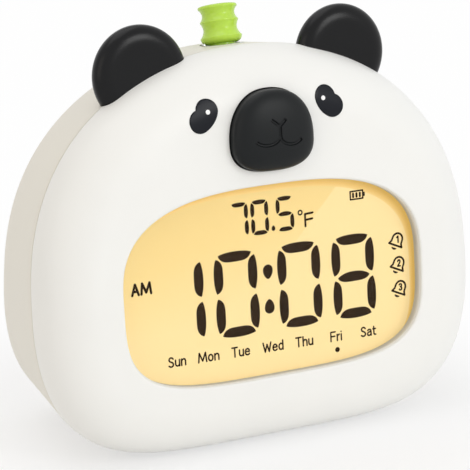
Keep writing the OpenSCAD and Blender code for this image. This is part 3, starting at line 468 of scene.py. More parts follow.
front_rings = (
    [opening_ring(0, recess_d)] + edge_rings + [opening_ring(opening_edge_r + support, 0)]
    + outer_rings
    + [opening_ring(pad_grow, wall), opening_ring(pad_grow, pocket_back),
       opening_ring(pocket_grow, pocket_back), opening_ring(pocket_grow, recess_d)]
)
front_rings = [inside_box(ring) for ring in front_rings]
front_shell = piece("front_half", *skin(front_rings, closed=True), shell_white)

# The outlines of the nose key, the eyes and the ears, which also cut their seats in the shell
nose_half_w = 11.8
nose_up = 13.15
nose_down = 8.25
nose_v = 83.9
nose_gap = 0.3
nose_powers = ((2.25, 2.25), (2.6, 2.6))
nose_points = 144
nose_angles = even_angles(nose_half_w, nose_up, nose_down, *nose_powers, nose_points)


def nose_line(grow=0.0):
    """The nose's outline about its own middle."""
    return egg(nose_half_w + grow, nose_up + grow, nose_down + grow, *nose_powers, nose_angles)


def prism(name, line, low, high, matrix, material=None):
    """An outline in (x, v), thickened from low to high along the outward axis."""
    return piece(name, *skin([raised(matrix, line, h) for h in (low, high)]), material)


def lathe(name, profile, matrix, material=None, count=96, smooth=35.0):
    """A closed turned piece, from pairs of radius and height that start and end on the axis."""
    rings = [np.column_stack([circle(r, count), np.full(count, h)]) for r, h in profile[1:-1]]
    points, faces = skin(rings)
    faces = faces[:-2]
    ends = [len(points), len(points) + 1]
    points = np.vstack([points, [0, 0, profile[0][1]], [0, 0, profile[-1][1]]])
    top = len(rings) * count - count
    for j in range(count):
        k = (j + 1) % count
        faces.append((ends[0], k, j))
        faces.append((ends[1], top + j, top + k))
    return piece(name, placed(matrix, points), faces, material, smooth)


eye_x = 18.6
eye_v = 91.85
eye_r = 3.1
eye_lobe = Vector((1.05, -1.3))
eye_bulge = 0.35
eye_shift = -0.4


def eye_line(side, grow=0.0, steps=36):
    """The outline of an eye: two lobes, notched between them on the outer side and bridged
    by a wide arc on the inner one."""
    radius = eye_r + grow
    reach = eye_lobe.length
    tilt = math.atan2(eye_lobe.y, eye_lobe.x)
    notch = math.acos(reach / radius)
    high = (reach ** 2 - eye_bulge ** 2) / (2 * eye_bulge)
    lean = math.atan2(high, reach)
    arcs = (
        (reach, 0, radius, -lean, math.pi - notch),
        (-reach, 0, radius, notch, math.pi + lean),
        (0, high, radius + math.hypot(reach, high), math.pi + lean, 2 * math.pi - lean),
    )
    line = []
    for across, up, arc_r, first, last in arcs:
        for a in np.linspace(first, last, steps)[1:]:
            u, w = across + arc_r * math.cos(a), up + arc_r * math.sin(a)
            line.append((u * math.cos(tilt) - w * math.sin(tilt), u * math.sin(tilt) + w * math.cos(tilt)))
    return np.array(line) * (side, 1) + (side * eye_x + eye_shift, eye_v)


def face_form(inset, steps=40, past_parting=4.0):
    """A tool with the housing's front form, drawn in by inset, or grown where it is negative."""
    rings = [in_frame(section(d, i)) for d, i in
             [(inset, front_edge_r + support)] + rounding(front_edge_r - inset, inset, steps)
             + [(front_d + past_parting, inset)]]
    return piece("tool", *skin(rings))


ear_x = 30.0
ear_v = 102.5
ear_r = 13.25
ear_t = 6.4
ear_round = 4.8
ear_power = 0.9
ear_setback = 0.6
ear_depth = front_d * math.cos(face_lean) + ear_setback


def ear_profile(grow=0.0, steps=28):
    """A disc's profile, whose rim is a superellipse."""
    half_t = ear_t / 2 + grow
    radius = ear_r + grow
    rim = [(radius - ear_round * (1 - abs(math.cos(a)) ** ear_power),
            half_t * signed_power(math.sin(a), ear_power))
           for a in np.linspace(-math.pi / 2, math.pi / 2, steps)]
    flat = radius - ear_round - support
    return [(0, -half_t), (flat, -half_t)] + rim + [(flat, half_t), (0, half_t)]


def on_ear(side):
    return on_face @ Matrix.Translation((side * ear_x, ear_v, -ear_depth))


ear_gap = 0.12
eye_sink = 0.9
eye_gap = 0.05
eye_low = -7
cut_high = 4
nose_low = -6
front_tools = [prism("tool", nose_line(nose_gap) + (0, nose_v), nose_low, cut_high, on_face)]
for side in (-1, 1):
    pocket = prism("tool", eye_line(side, eye_gap), eye_low, cut_high, on_face)
    cut(pocket, [face_form(eye_sink)])
    front_tools.append(pocket)
front_tools += [lathe("tool", ear_profile(ear_gap), on_ear(side)) for side in (-1, 1)]
cut(front_shell, front_tools)
soften(front_shell, 32)
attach(front_shell, "housing")
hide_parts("front_shell")

# ---- Rear shell ----
# The rear half, moulded in ABS, in a darker and warmer copy of the front's white, which is
# painted shade for its shaded sides. Its back is flat, and is pierced for five keys, the
# speaker, the power row and a vent; deep wells hold the case screws.
stalk_y = 36.4
stalk_lean = math.radians(17.5)
bead_radii = (5.65, 5.2, 5.35)
well_r = bead_radii[0] + 0.45
well_low = -12
well_high = 6
key_r = 4.15
key_slip = 0.25
key_pitch = 14.0
key_xs = [i * key_pitch for i in (-2, -1, 0, 1, 2)]
key_v = 70.5
speaker_v = 45.0
grille_step = 3.6
grille_hole_r = 0.95
power_v = 20.0
usb_x = -19.0
usb_w = 9.54
usb_h = 3.86
slide_x = 17.0
slide_slot_w = 5.8
slide_slot_h = 2.6
reset_r = 0.8
vent_x = 31.0
vent_step = 2.6
vent_count = 4
vent_w = 1.3
vent_h = 9.0
hole_low = -4.0
hole_high = 1.0
foot_x = 33.0
foot_ys = (23.0, 51.0)
foot_r = 5.0
foot_seat = 1.6
foot_play = 0.05
case_screws = [(sx * x, z) for x, z in ((44.0, 10.5), (33.0, 82.0)) for sx in (-1, 1)]
case_grip = 8.0
case_well_r = 2.75
round_count = 48

side_depths = np.linspace(front_d + reveal, base_d - back_edge_r, 9)
rear_rings = [
    in_frame(section(d, i))
    for d, i in [(base_d - wall, back_edge_r + support)]
    + [(base_d - back, inset) for back, inset in rounding(back_edge_r - wall, wall, 8)]
    + [(front_d + lip_h + fit, wall), (front_d + lip_h + fit, wall / 2 - fit / 2),
       (front_d, wall / 2 - fit / 2), (front_d, groove_sink + groove_start),
       (front_d + groove_half, groove_sink), (front_d + groove_half, groove_mouth),
       (front_d + groove_half + groove_lead, groove_start)]
    + [(d, 0) for d in side_depths[:-1]]
    + [(base_d - back, inset) for back, inset in rounding(back_edge_r, 0, 16)[::-1]]
    + [(base_d, back_edge_r + support)]
]
rear_rings = [inside_box(ring) for ring in rear_rings]
rear_shell = piece("rear_half", *skin(rear_rings), rear_shaded_white)

stalk_z = body_h - top_drop * share(stalk_y)
stalk_foot = Vector((0, stalk_y + slope(stalk_y) * stalk_z, stalk_z))
on_stalk = home @ Matrix.Translation(stalk_foot) @ Matrix.Rotation(-stalk_lean, 4, "X")


def drill(radius, chamfer):
    """The profile of a round hole whose mouth, at zero, is chamfered."""
    return [(0, hole_low), (radius, hole_low), (radius, -chamfer), (radius + chamfer, 0),
            (radius + chamfer, hole_high), (0, hole_high)]


def back_place(x, v):
    """A place on the back; x is counted on the housing, as the face's viewer sees it."""
    return on_back @ Matrix.Translation((-x, v, 0))


def bar_line(w, h, steps=12):
    """The outline of a bar with round ends."""
    r = min(w, h) / 2
    dx, dy = w / 2 - r, h / 2 - r
    line = []
    for cx, cy, first in ((dx, dy, 0), (-dx, dy, 90), (-dx, -dy, 180), (dx, -dy, 270)):
        for a in np.linspace(first, first + 90, steps):
            line.append((cx + r * math.cos(math.radians(a)), cy + r * math.sin(math.radians(a))))
    keep = [p for i, p in enumerate(line) if math.dist(p, line[i - 1]) > 1e-6]
    return np.array(keep)


def box_line(w, h):
    return np.array([(-w / 2, -h / 2), (w / 2, -h / 2), (w / 2, h / 2), (-w / 2, h / 2)])


def slot_tool(outline, w, h, matrix, chamfer):
    """A hole with a chamfered mouth; outline gives its line from a width and a height."""
    steps = [(0.0, hole_low), (0.0, -chamfer), (chamfer, 0.0), (chamfer, hole_high)]
    rings = [raised(matrix, outline(w + 2 * grow, h + 2 * grow), out) for grow, out in steps]
    return piece("tool", *skin(rings))


def growth_tree(name, sizes):
    """A node tree with a named input for each size. Gives the tree and those inputs."""
    tree = bpy.data.node_groups.new(name, "GeometryNodeTree")
    for size, kind in sizes.items():
        tree.interface.new_socket(size, in_out="INPUT", socket_type=kind)
    tree.interface.new_socket("Geometry", in_out="OUTPUT", socket_type="NodeSocketGeometry")
    return tree, add_node(tree, "NodeGroupInput").outputs


def stamp_at(tree, points, stamp, material):
    """Ends a node tree with the stamp at each point, as real geometry in the material."""
    copies = add_node(tree, "GeometryNodeInstanceOnPoints", {"Points": points, "Instance": stamp})
    real = add_node(tree, "GeometryNodeRealizeInstances", {0: copies.outputs[0]})
    coat = add_node(tree, "GeometryNodeSetMaterial", {0: real.outputs[0], "Material": material})
    add_node(tree, "NodeGroupOutput", {0: coat.outputs[0]})


def grille_tree(material):
    """Rings of drill bits round a middle one, as the speaker's grille is pierced."""
    tree, sizes = growth_tree("grille_holes", {
        "Ring step": "NodeSocketFloat", "Hole radius": "NodeSocketFloat", "Depth": "NodeSocketFloat"})
    places = add_node(tree, "GeometryNodeJoinGeometry")
    middle = add_node(tree, "GeometryNodeMeshLine", {"Count": 1})
    tree.links.new(middle.outputs["Mesh"], places.inputs[0])
    for ring in (1, 2, 3):
        radius = add_node(tree, "ShaderNodeMath", {0: sizes["Ring step"], 1: ring}, operation="MULTIPLY")
        circle = add_node(tree, "GeometryNodeMeshCircle", {"Vertices": 6 * ring, "Radius": radius.outputs[0]})
        tree.links.new(circle.outputs["Mesh"], places.inputs[0])
    bit = add_node(tree, "GeometryNodeMeshCylinder", {
        "Vertices": 20, "Radius": sizes["Hole radius"], "Depth": sizes["Depth"]})
    stamp_at(tree, places.outputs[0], bit.outputs["Mesh"], material)
    return tree


def grown(name, tree, sizes, matrix):
    """Runs a node tree with its sizes, and leaves a plain mesh in its place."""
    thing = bpy.data.objects.new(name, bpy.data.meshes.new(name))
    bpy.context.scene.collection.objects.link(thing)
    growth = thing.modifiers.new("growth", "NODES")
    growth.node_group = tree
    for item in tree.interface.items_tree:
        if item.in_out == "INPUT" and item.name in sizes:
            growth[item.identifier] = sizes[item.name]
    bake_modifiers(thing)
    thing.data.transform(matrix)
    return thing


def on_screw(x, z):
    """The axis of a case screw, from the front shell to the back."""
    return (home @ Matrix.Translation((x, front_d + slope(0) * z, z))
            @ Matrix.Rotation(-math.pi / 2, 4, "X"))


rear_tools = [grown("tool", grille_tree(rear_shaded_white),
                    {"Ring step": grille_step, "Hole radius": grille_hole_r, "Depth": -2 * hole_low},
                    back_place(0, speaker_v))]
rear_tools += [lathe("tool", drill(key_r + key_slip, chamfer=0.3), back_place(x, key_v)) for x in key_xs]
rear_tools.append(slot_tool(bar_line, usb_w, usb_h, back_place(usb_x, power_v), chamfer=0.35))
rear_tools.append(slot_tool(box_line, slide_slot_w, slide_slot_h, back_place(slide_x, power_v), chamfer=0.3))
rear_tools.append(lathe("tool", drill(reset_r, chamfer=0.25), back_place(0, power_v), count=32))
rear_tools += [slot_tool(bar_line, vent_w, vent_h, back_place(vent_x + i * vent_step, speaker_v), chamfer=0.2)
               for i in range(vent_count)]
rear_tools.append(lathe("tool", [(0, well_low), (well_r, well_low), (well_r, well_high), (0, well_high)],
                        on_stalk))
rear_tools += [lathe("tool", ear_profile(ear_gap), on_ear(side)) for side in (-1, 1)]
for x, z in case_screws:
    rear_tools.append(lathe("tool", [(0, case_grip), (case_well_r, case_grip),
                                     (case_well_r, base_d), (0, base_d)], on_screw(x, z), count=round_count))
for x in (-foot_x, foot_x):
    for y in foot_ys:
        rear_tools.append(lathe("tool", [(0, -2), (foot_r + foot_play, -2), (foot_r + foot_play, foot_seat),
                                         (0, foot_seat)], home @ Matrix.Translation((x, y, 0)), count=64))
cut(rear_shell, rear_tools)
soften(rear_shell, 32)

# The tubes that the case screws pass down are part of the rear moulding
tube_r = 4.2
tube_bore_r = 1.4
tube_short = 4.5
tube_start = 0.05
tube_names = ("low_left", "low_right", "high_left", "high_right")
for tube_name, (x, z) in zip(tube_names, case_screws):
    tube_end = base_d - front_d - 2 * slope(0) * z - tube_short
    walls = [(tube_r, tube_start), (tube_r, tube_end), (case_well_r, tube_end),
             (case_well_r, case_grip), (tube_bore_r, case_grip), (tube_bore_r, tube_start)]
    rings = [raised(on_screw(x, z), circle(r, round_count), h) for r, h in walls]
    tube = piece(f"screw_tube_{tube_name}", *skin(rings, closed=True), rear_shaded_white)
    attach(tube, "housing")
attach(rear_shell, "housing")
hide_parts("rear_shell")

# ---- Feet ----
# Four round feet, stamped from black rubber sheet. They are pressed and glued into
# pockets in the underside, and their lower rims are rounded.
foot_rubber = plastic("foot_rubber", (0.035, 0.035, 0.038), 0.8, 0.02, 0.6, 0.12)
foot_low = -foot_proud
foot_high = foot_seat - foot_play
foot_rim = ((0.8, 0.0), (0.3, 0.12), (0.0, 0.45))
foot_profile = ([(0, foot_low)] + [(foot_r - inset, foot_low + rise) for inset, rise in foot_rim]
                + [(foot_r, foot_high), (0, foot_high)])
foot_places = (("front_left", -1, 0), ("front_right", 1, 0), ("rear_left", -1, 1), ("rear_right", 1, 1))
for name, side, row in foot_places:
    foot = lathe(f"rubber_foot_{name}", foot_profile,
                 home @ Matrix.Translation((side * foot_x, foot_ys[row], 0)), foot_rubber, 64)
    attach(foot, "housing")
    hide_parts(f"foot_{name}")

# ---- Display window ----
# A clear acrylic plate in the recess, held from behind against the ledge. Its coating
# takes away most of its reflection.
clear, clear_tree, pane = new_material("clear_acrylic", {
    "Base Color": (1.0, 1.0, 1.0, 1), "Roughness": 0.03, "IOR": 1.12, "Transmission Weight": 1.0})
rays = add_node(clear_tree, "ShaderNodeLightPath")
open_to_lamps = add_node(clear_tree, "ShaderNodeBsdfTransparent")
passing = add_node(clear_tree, "ShaderNodeMixShader", {
    "Fac": rays.outputs["Is Shadow Ray"], 1: pane.outputs[0], 2: open_to_lamps.outputs[0]})
feed(clear_tree, clear_tree.nodes["Material Output"], {"Surface": passing.outputs[0]})
window_support = 0.8
window_rings = [opening_ring(window_margin, window_back), opening_ring(window_margin, recess_d),
                opening_ring(window_margin - window_support, recess_d)]
window = piece("clear_window", *skin(window_rings), clear)
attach(window, "housing")
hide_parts("display_window")

# ---- Liquid crystal panel ----
# The glass sandwich behind the window. Its polariser is amber, and the lamps behind it
# make it glow. It is darker towards the top, and brighter past a slanting line at the
# lower right, where a glare is painted into its colour.
def ramp(tree, place, stops):
    """A colour that runs through the stops, each a place from 0 to 1 and a colour."""
    blend = add_node(tree, "ShaderNodeValToRGB", {"Fac": place})
    elements = blend.color_ramp.elements
    elements.remove(elements[1])
    for i, (position, colour) in enumerate(stops):
        stop = elements.new(position) if i else elements[0]
        stop.position = position
        stop.color = (*colour, 1)
    return blend.outputs["Color"]


def reach_along(tree, direction, low, high):
    """How far a place on the object lies along a direction, as 0 at low and 1 at high."""
    place = add_node(tree, "ShaderNodeTexCoord")
    along = add_node(tree, "ShaderNodeVectorMath", {0: place.outputs["Object"], 1: direction},
                     operation="DOT_PRODUCT")
    return add_node(tree, "ShaderNodeMapRange", {
        "Value": along.outputs["Value"], "From Min": low, "From Max": high}).outputs["Result"]


lit_strength = 0.74
amber, amber_tree, film = new_material("amber_liquid_crystal", {
    "Roughness": 0.35, "Specular IOR Level": 0.2, "Emission Strength": lit_strength})
downward = reach_along(amber_tree, (0.2, 0.0, -0.98), -0.079, -0.040)
# A painted glare: the colour is brighter past a slanting line at the lower right
painted_glare_side = reach_along(amber_tree, (1.0, 0.0, -1.0), -0.0462, -0.0452)
downward_and_glare = add_node(amber_tree, "ShaderNodeMath", {0: downward, 1: painted_glare_side}, operation="MAXIMUM")
amber_and_glare = ramp(amber_tree, downward_and_glare.outputs[0], (
    (0.0, (0.765, 0.555, 0.212)), (0.55, (0.822, 0.610, 0.248)), (1.0, (0.873, 0.662, 0.312))))
# The base colour is the same amber with its painted glare, dimmed
amber_base_and_glare = add_node(amber_tree, "ShaderNodeMix", {
    "Factor": 1.0, "A": amber_and_glare, "B": (0.35, 0.35, 0.35, 1)}, data_type="RGBA", blend_type="MULTIPLY")
feed(amber_tree, film, {"Base Color": amber_base_and_glare.outputs["Result"], "Emission Color": amber_and_glare})


def dress(name, material):
    """Gives a CAD node its finish, and leaves its mesh as it is."""
    data = nodes[name].data
    if data.materials:
        for i in range(len(data.materials)):
            data.materials[i] = material
    else:
        data.materials.append(material)


dress("lcd_panel", amber)


def fade(thing, rings_inward, socket, stops):
    """Feeds a socket of a ringed piece's shader with colours by how far inward each ring lies."""
    inward = thing.data.attributes.new("inward", "FLOAT", "POINT")
    inward.data.foreach_set("value", np.repeat(rings_inward, ring_points))
    tree = thing.data.materials[0].node_tree
    reach = add_node(tree, "ShaderNodeAttribute", attribute_name="inward")
    feed(tree, tree.nodes["Principled BSDF"], {socket: ramp(tree, reach.outputs["Fac"], stops)})


# A deeper amber band along the top and the right of the lit field is a painted shadow:
# the shade of the recess's ledge on the panel, made as a thin film.
ledge_shadow_amber = plastic("amber_ledge_shadow", (0.30, 0.18, 0.05), 0.35, 0.0, 0.5, 0.04, 0.2)
ledge_shadow_amber.node_tree.nodes["Principled BSDF"].inputs["Emission Strength"].default_value = lit_strength
border_grow = window_margin - 0.2
border_front = panel_depth - 0.04
border_back = panel_depth - 0.02
# The band is shifted so that the painted shadow is widest at the top and the right
border_shift = Vector((-0.9, -2.5, 0.0))
border_rings = [opening_ring(border_grow, border_back), opening_ring(0, border_back),
                opening_ring(0, border_front), opening_ring(border_grow, border_front)]
for inner_ring in border_rings[1:3]:
    inner_ring += np.array(on_face.to_3x3() @ border_shift)
border = piece("amber_ledge_shadow", *skin(border_rings, closed=True), ledge_shadow_amber)
# The painted shadow is deepest at its outer edge and pales inward
fade(border, (0, 1, 1, 0), "Emission Color", (
    (0.5, (0.68, 0.44, 0.11)), (0.76, (0.80, 0.53, 0.16)), (1.0, (0.85, 0.64, 0.27))))
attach(border, "housing")

# A grey band lines the recess wall in front of the window: painted shade, darkest at the
# window and paler towards the face.
recess_shade_grey = plastic("window_recess_shade", (0.50, 0.49, 0.45), 0.6, 0.01, 0.3, 0.04)
recess_shade_h = 2.3
recess_shade_t = 0.12
recess_shade_skin = 0.005
recess_shade_back = recess_d - 0.01
recess_shade_rings = [opening_ring(-recess_shade_skin, recess_d - recess_shade_h), opening_ring(-recess_shade_t, recess_d - recess_shade_h),
              opening_ring(-recess_shade_t, recess_shade_back), opening_ring(-recess_shade_skin, recess_shade_back)]
recess_shade = piece("window_recess_shade", *skin(recess_shade_rings, closed=True), recess_shade_grey)
# The painted shade deepens from the face towards the window
fade(recess_shade, (0, 0, 1, 1), "Base Color", (
    (0.0, (0.82, 0.81, 0.78)), (0.5, (0.58, 0.57, 0.53)), (1.0, (0.50, 0.49, 0.44))))
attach(recess_shade, "housing")

# ---- What the display shows ----
# The dark liquid crystal shapes: seven-part figures of leaf-shaped strokes, a colon
# of two drops, the weekdays, three numbered bells and a battery sign.
ink_depth = panel_depth - 0.03
ink_thick = 0.02
ink = plastic("dark_liquid_crystal", (0.021, 0.0105, 0.0036), 0.5, 0.0, 0.5, 0.1, 0.05)
sign_lines = []


def turned(line, angle):
    c, s = math.cos(angle), math.sin(angle)
    return np.asarray(line, float) @ np.array([[c, s], [-s, c]])


leaf_outer = (2.3, 0.85)
leaf_inner = (4, 0.7)


def stroke(x, v, length, width, turn, tip=0.0, steps=30):
    """A leaf-shaped stroke; tip moves its points towards one edge."""
    u = np.sin(np.linspace(-math.pi / 2, math.pi / 2, steps))
    outer = tip + (width / 2 - tip) * (1 - np.abs(u) ** leaf_outer[0]) ** leaf_outer[1]
    inner = tip - (width / 2 + tip) * (1 - np.abs(u) ** leaf_inner[0]) ** leaf_inner[1]
    line = np.concatenate([
        np.column_stack([u, outer]), np.column_stack([u[::-1], inner[::-1]])[1:-1]
    ]) * (length / 2, 1)
    sign_lines.append(turned(line, turn) + (x, v))


figures = {"0": "abcdef", "1": "bc", "5": "afgcd", "7": "abc", "8": "abcdefg"}


def figure(sign, x, v, half_w, reach, side_v, length, side_length, width, lean=0.014):
    """One seven-part figure. Its top stroke lies reach over its middle, and its side
    strokes have their middles side_v above and below it."""
    quarter = math.pi / 2
    parts = {
        "a": (0, reach, 0.0, 0.25), "g": (0, 0, 0.0, 0.0), "d": (0, -reach, math.pi, 0.25),
        "b": (half_w, side_v, -quarter, 0.22), "c": (half_w, -side_v, -quarter, 0.22),
        "f": (-half_w, side_v, quarter, 0.22), "e": (-half_w, -side_v, quarter, 0.22),
    }
    for part in figures[sign]:
        px, pv, turn, tip = parts[part]
        run = length if part in "agd" else side_length
        stroke(x + px - lean * pv, v + pv, run, width, turn, tip * width)


clock_v = 42.65
row_tilt = -0.0082
row_widening = 0.0055
for sign, x in (("1", -25.75), ("0", -9.75), ("0", 9.4), ("8", 26.15)):
    figure(sign, x, clock_v + row_tilt * x, half_w=5.17 + row_widening * x, reach=10.22, side_v=5.36,
           length=9.85, side_length=9.35, width=2.78)
small_v = 62.4
for sign, x in (("7", -7.85), ("0", -1.75), ("5", 5.9)):
    figure(sign, x, small_v, half_w=2.1, reach=4.15, side_v=2.17, length=4.1, side_length=3.85, width=1.2)


def drop(x, v, radius, reach, steps=28):
    """A drop whose point lies reach away from its middle, down if reach is negative."""
    a = np.linspace(-math.pi, math.pi, steps, endpoint=False)
    stretch = np.where(np.cos(a) > 0, np.cos(a) * abs(reach), np.cos(a) * radius)
    narrow = np.where(np.cos(a) > 0, np.abs(np.sin(a)) ** 1.35, np.abs(np.sin(a)))
    side = np.sign(np.sin(a)) * narrow * radius
    sign_lines.append(np.column_stack([side, stretch * (1 if reach > 0 else -1)]) + (x, v))


# The colon's two drops and the small figures' point
drop(-0.15, 47.9, 1.48, -2.5)
drop(-0.15, 37.45, 1.48, 2.5)
drop(2.2, 58.75, 0.55, 0.95)


# The dot that marks the day
sign_lines.append(circle(0.72, 28) + (20.0, 22.8))


def band(points, width, closed=False):
    """A line of even width through points, as a closed strip with round ends."""
    points = [Vector(p) for p in points]
    last = len(points) if closed else len(points) - 1
    for i in range(last):
        a, b = points[i], points[(i + 1) % len(points)]
        line = bar_line((b - a).length + width, width, 6)
        sign_lines.append(turned(line, math.atan2((b - a).y, (b - a).x)) + tuple((a + b) / 2))


# The sign for degrees, and its letter
band(circle(0.58, 20) + (10.5, 62.05), 0.4, True)
band([(11.95, 58.15), (11.95, 61.45), (14.3, 61.6)], 0.6)
band([(11.95, 59.85), (14.1, 60.0)], 0.6)


# The battery's sign: a case with a pole on its right and three bars in it
battery_middle = (28.1, 64.6)
battery_w = 3.9
battery_h = 2.2
pole_x = battery_w / 2 + 0.42
band(box_line(battery_w, battery_h) + battery_middle, 0.44, True)
band(np.array([(pole_x, -0.35), (pole_x, 0.35)]) + battery_middle, 0.5)
for i in (-1, 0, 1):
    bar_x = i * battery_w * 0.27
    band(np.array([(bar_x, -battery_h * 0.2), (bar_x, battery_h * 0.2)]) + battery_middle, 0.64)


def bell_sign(x, v, tilt):
    """An outlined bell, leaning, with a clapper under its mouth."""
    dome = [(-2.15, -1.6), (-1.62, -0.75), (-1.6, 0.1)]
    dome += [(1.6 * math.cos(a), 0.2 + 1.6 * math.sin(a)) for a in np.linspace(math.pi, 0, 14)]
    dome += [(1.6, 0.1), (1.62, -0.75), (2.15, -1.6)]
    clapper = [(0.85 * math.cos(t) - 0.15, 0.6 * math.sin(t) - 2.3)
               for t in np.linspace(math.pi, 2 * math.pi, 14)]
    band(turned(dome, tilt) + (x, v), 0.56, True)
    sign_lines.append(turned(clapper, tilt) + (x, v))


bell_lean = math.radians(-24)
bells = [(40.3, 50.55), (40.45, 43.9), (40.65, 37.15)]
for x, v in bells:
    bell_sign(x, v, bell_lean)


def inked(name, lines, depth):
    """Thin plates of dark liquid crystal in the panel's front."""
    points, faces = [], []
    for line in lines:
        base, count = len(points), len(line)
        for out in (-depth, -depth + ink_thick):
            points += [(p[0], p[1], out) for p in line]
        faces.append(tuple(base + j for j in range(count)))
        faces.append(tuple(base + count + j for j in reversed(range(count))))
        for j in range(count):
            k = (j + 1) % count
            faces.append((base + j, base + count + j, base + count + k, base + k))
    return piece(name, placed(on_face, np.array(points)), faces, ink, 30)


# Letters and small numbers: each a width, and the lines that an even, round-ended stroke
# follows, on a height of 1
arch = [(0, 0.46), (0.1, 0.61), (0.23, 0.67), (0.36, 0.61), (0.42, 0.45), (0.42, 0)]
letters = {
    "A": (0.576, [[(0, 0), (0.288, 1), (0.576, 0)], [(0.112, 0.33), (0.464, 0.33)]]),
    "F": (0.50, [[(0, 0), (0, 1), (0.5, 1)], [(0, 0.52), (0.44, 0.52)]]),
    "M": (0.86, [[(0, 0), (0.1, 1), (0.43, 0.12), (0.76, 1), (0.86, 0)]]),
    "S": (0.50, [[(0.47, 0.84), (0.38, 0.96), (0.25, 1), (0.1, 0.93), (0.04, 0.77), (0.1, 0.62), (0.25, 0.53),
                  (0.4, 0.44), (0.49, 0.29), (0.45, 0.11), (0.31, 0.01), (0.16, 0.01), (0.02, 0.12)]]),
    "T": (0.58, [[(0, 1), (0.58, 1)], [(0.29, 1), (0.29, 0)]]),
    "W": (0.86, [[(0, 1), (0.21, 0), (0.43, 0.8), (0.65, 0), (0.86, 1)]]),
    "a": (0.42, [[(0.04, 0.58), (0.2, 0.67), (0.34, 0.63), (0.4, 0.5), (0.42, 0)],
                 [(0.4, 0.4), (0.2, 0.39), (0.04, 0.3), (0, 0.16), (0.07, 0.03), (0.2, 0), (0.34, 0.06),
                  (0.41, 0.18)]]),
    "d": (0.44, [[(0.44, 1), (0.44, 0)], [(0.44, 0.5), (0.34, 0.64), (0.2, 0.67), (0.06, 0.57), (0, 0.34),
                                          (0.05, 0.1), (0.2, 0), (0.35, 0.05), (0.44, 0.18)]]),
    "e": (0.44, [[(0.02, 0.36), (0.44, 0.36), (0.42, 0.53), (0.33, 0.64), (0.21, 0.67), (0.08, 0.59),
                  (0, 0.42), (0.01, 0.2), (0.09, 0.05), (0.23, 0), (0.38, 0.05), (0.43, 0.11)]]),
    "h": (0.42, [[(0, 1), (0, 0)], arch]),
    "i": (0.0, [[(0, 0.66), (0, 0)], [(0, 0.93), (0, 0.94)]]),
    "n": (0.42, [[(0, 0.66), (0, 0)], arch]),
    "o": (0.46, [[(0.23 + 0.23 * math.cos(a), 0.335 + 0.335 * math.sin(a))
                  for a in np.linspace(0, 2 * math.pi, 17)]]),
    "r": (0.24, [[(0, 0.66), (0, 0)], [(0, 0.44), (0.1, 0.6), (0.24, 0.66)]]),
    "t": (0.30, [[(0.1, 0.9), (0.1, 0.14), (0.17, 0.02), (0.3, 0.01)], [(0, 0.65), (0.29, 0.65)]]),
    "u": (0.42, [[(0, 0.66), (0, 0.21), (0.07, 0.06), (0.2, 0), (0.34, 0.06), (0.42, 0.2)],
                 [(0.42, 0.66), (0.42, 0)]]),
    "1": (0.22, [[(0, 0.8), (0.22, 1), (0.22, 0)]]),
    "2": (0.48, [[(0.02, 0.78), (0.1, 0.94), (0.25, 1), (0.41, 0.93), (0.46, 0.75), (0.38, 0.52), (0, 0),
                  (0.48, 0)]]),
    "3": (0.46, [[(0.02, 0.87), (0.12, 0.98), (0.25, 1), (0.4, 0.93), (0.44, 0.77), (0.36, 0.6), (0.2, 0.54),
                  (0.4, 0.46), (0.46, 0.27), (0.4, 0.08), (0.22, 0), (0.08, 0.04), (0, 0.14)]]),
}


def lettered(text, x, v, height, width, gap=0.22, spread=1.0):
    """A word of even strokes, centred on x, with its foot at v."""
    wide = sum(letters[c][0] + gap for c in text) - gap
    pen = x - wide * height * spread / 2
    for c in text:
        for path in letters[c][1]:
            band([(pen + px * height * spread, v + pv * height) for px, pv in path], width)
        pen += (letters[c][0] + gap) * height * spread


lettered("AM", -37.45, 46.75, height=2.85, width=0.68, gap=0.24, spread=1.14)
for i, (x, v) in enumerate(bells):
    lettered(str(i + 1), x + 0.1, v - 0.75, height=1.7, width=0.46)
days = (("Sun", -28.45), ("Mon", -19.15), ("Tue", -9.55), ("Wed", 0.25), ("Thu", 9.85), ("Fri", 19.75),
        ("Sat", 29.95))
days_v = 26.1
days_tilt = -0.0155
for day, x in days:
    lettered(day, x, days_v + days_tilt * (x - days[0][1]), height=2.5, width=0.45, spread=1.1)
signs = inked("display_figures", sign_lines, ink_depth)
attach(signs, "housing")

# ---- Ears ----
# Two black discs with a full round rim, moulded in ABS. Each sits in a seat across the
# parting line, trapped between the shells, and its foot is cut off inside the housing.
ear_black = plastic("satin_black", (0.003, 0.0031, 0.0037), 0.25, 0.006, 0.35, 0.05, 0.24)
ear_foot = 8.4
ear_cut_w = 30
ear_cut_h = 13.6
ear_cut_lean = math.radians(-24)
for name, side in (("left", -1), ("right", 1)):
    ear = lathe(f"{name}_ear_disc", ear_profile(), on_ear(side), ear_black, 128)
    low_cut = prism("tool", box_line(ear_cut_w, ear_cut_h) - (0, ear_foot + ear_cut_h / 2), -9, 9,
                    on_ear(side) @ Matrix.Rotation(ear_cut_lean * side, 4, "Z"))
    cut(ear, [low_cut])
    soften(ear, 35)
    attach(ear, "housing")
    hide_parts(f"{name}_ear")

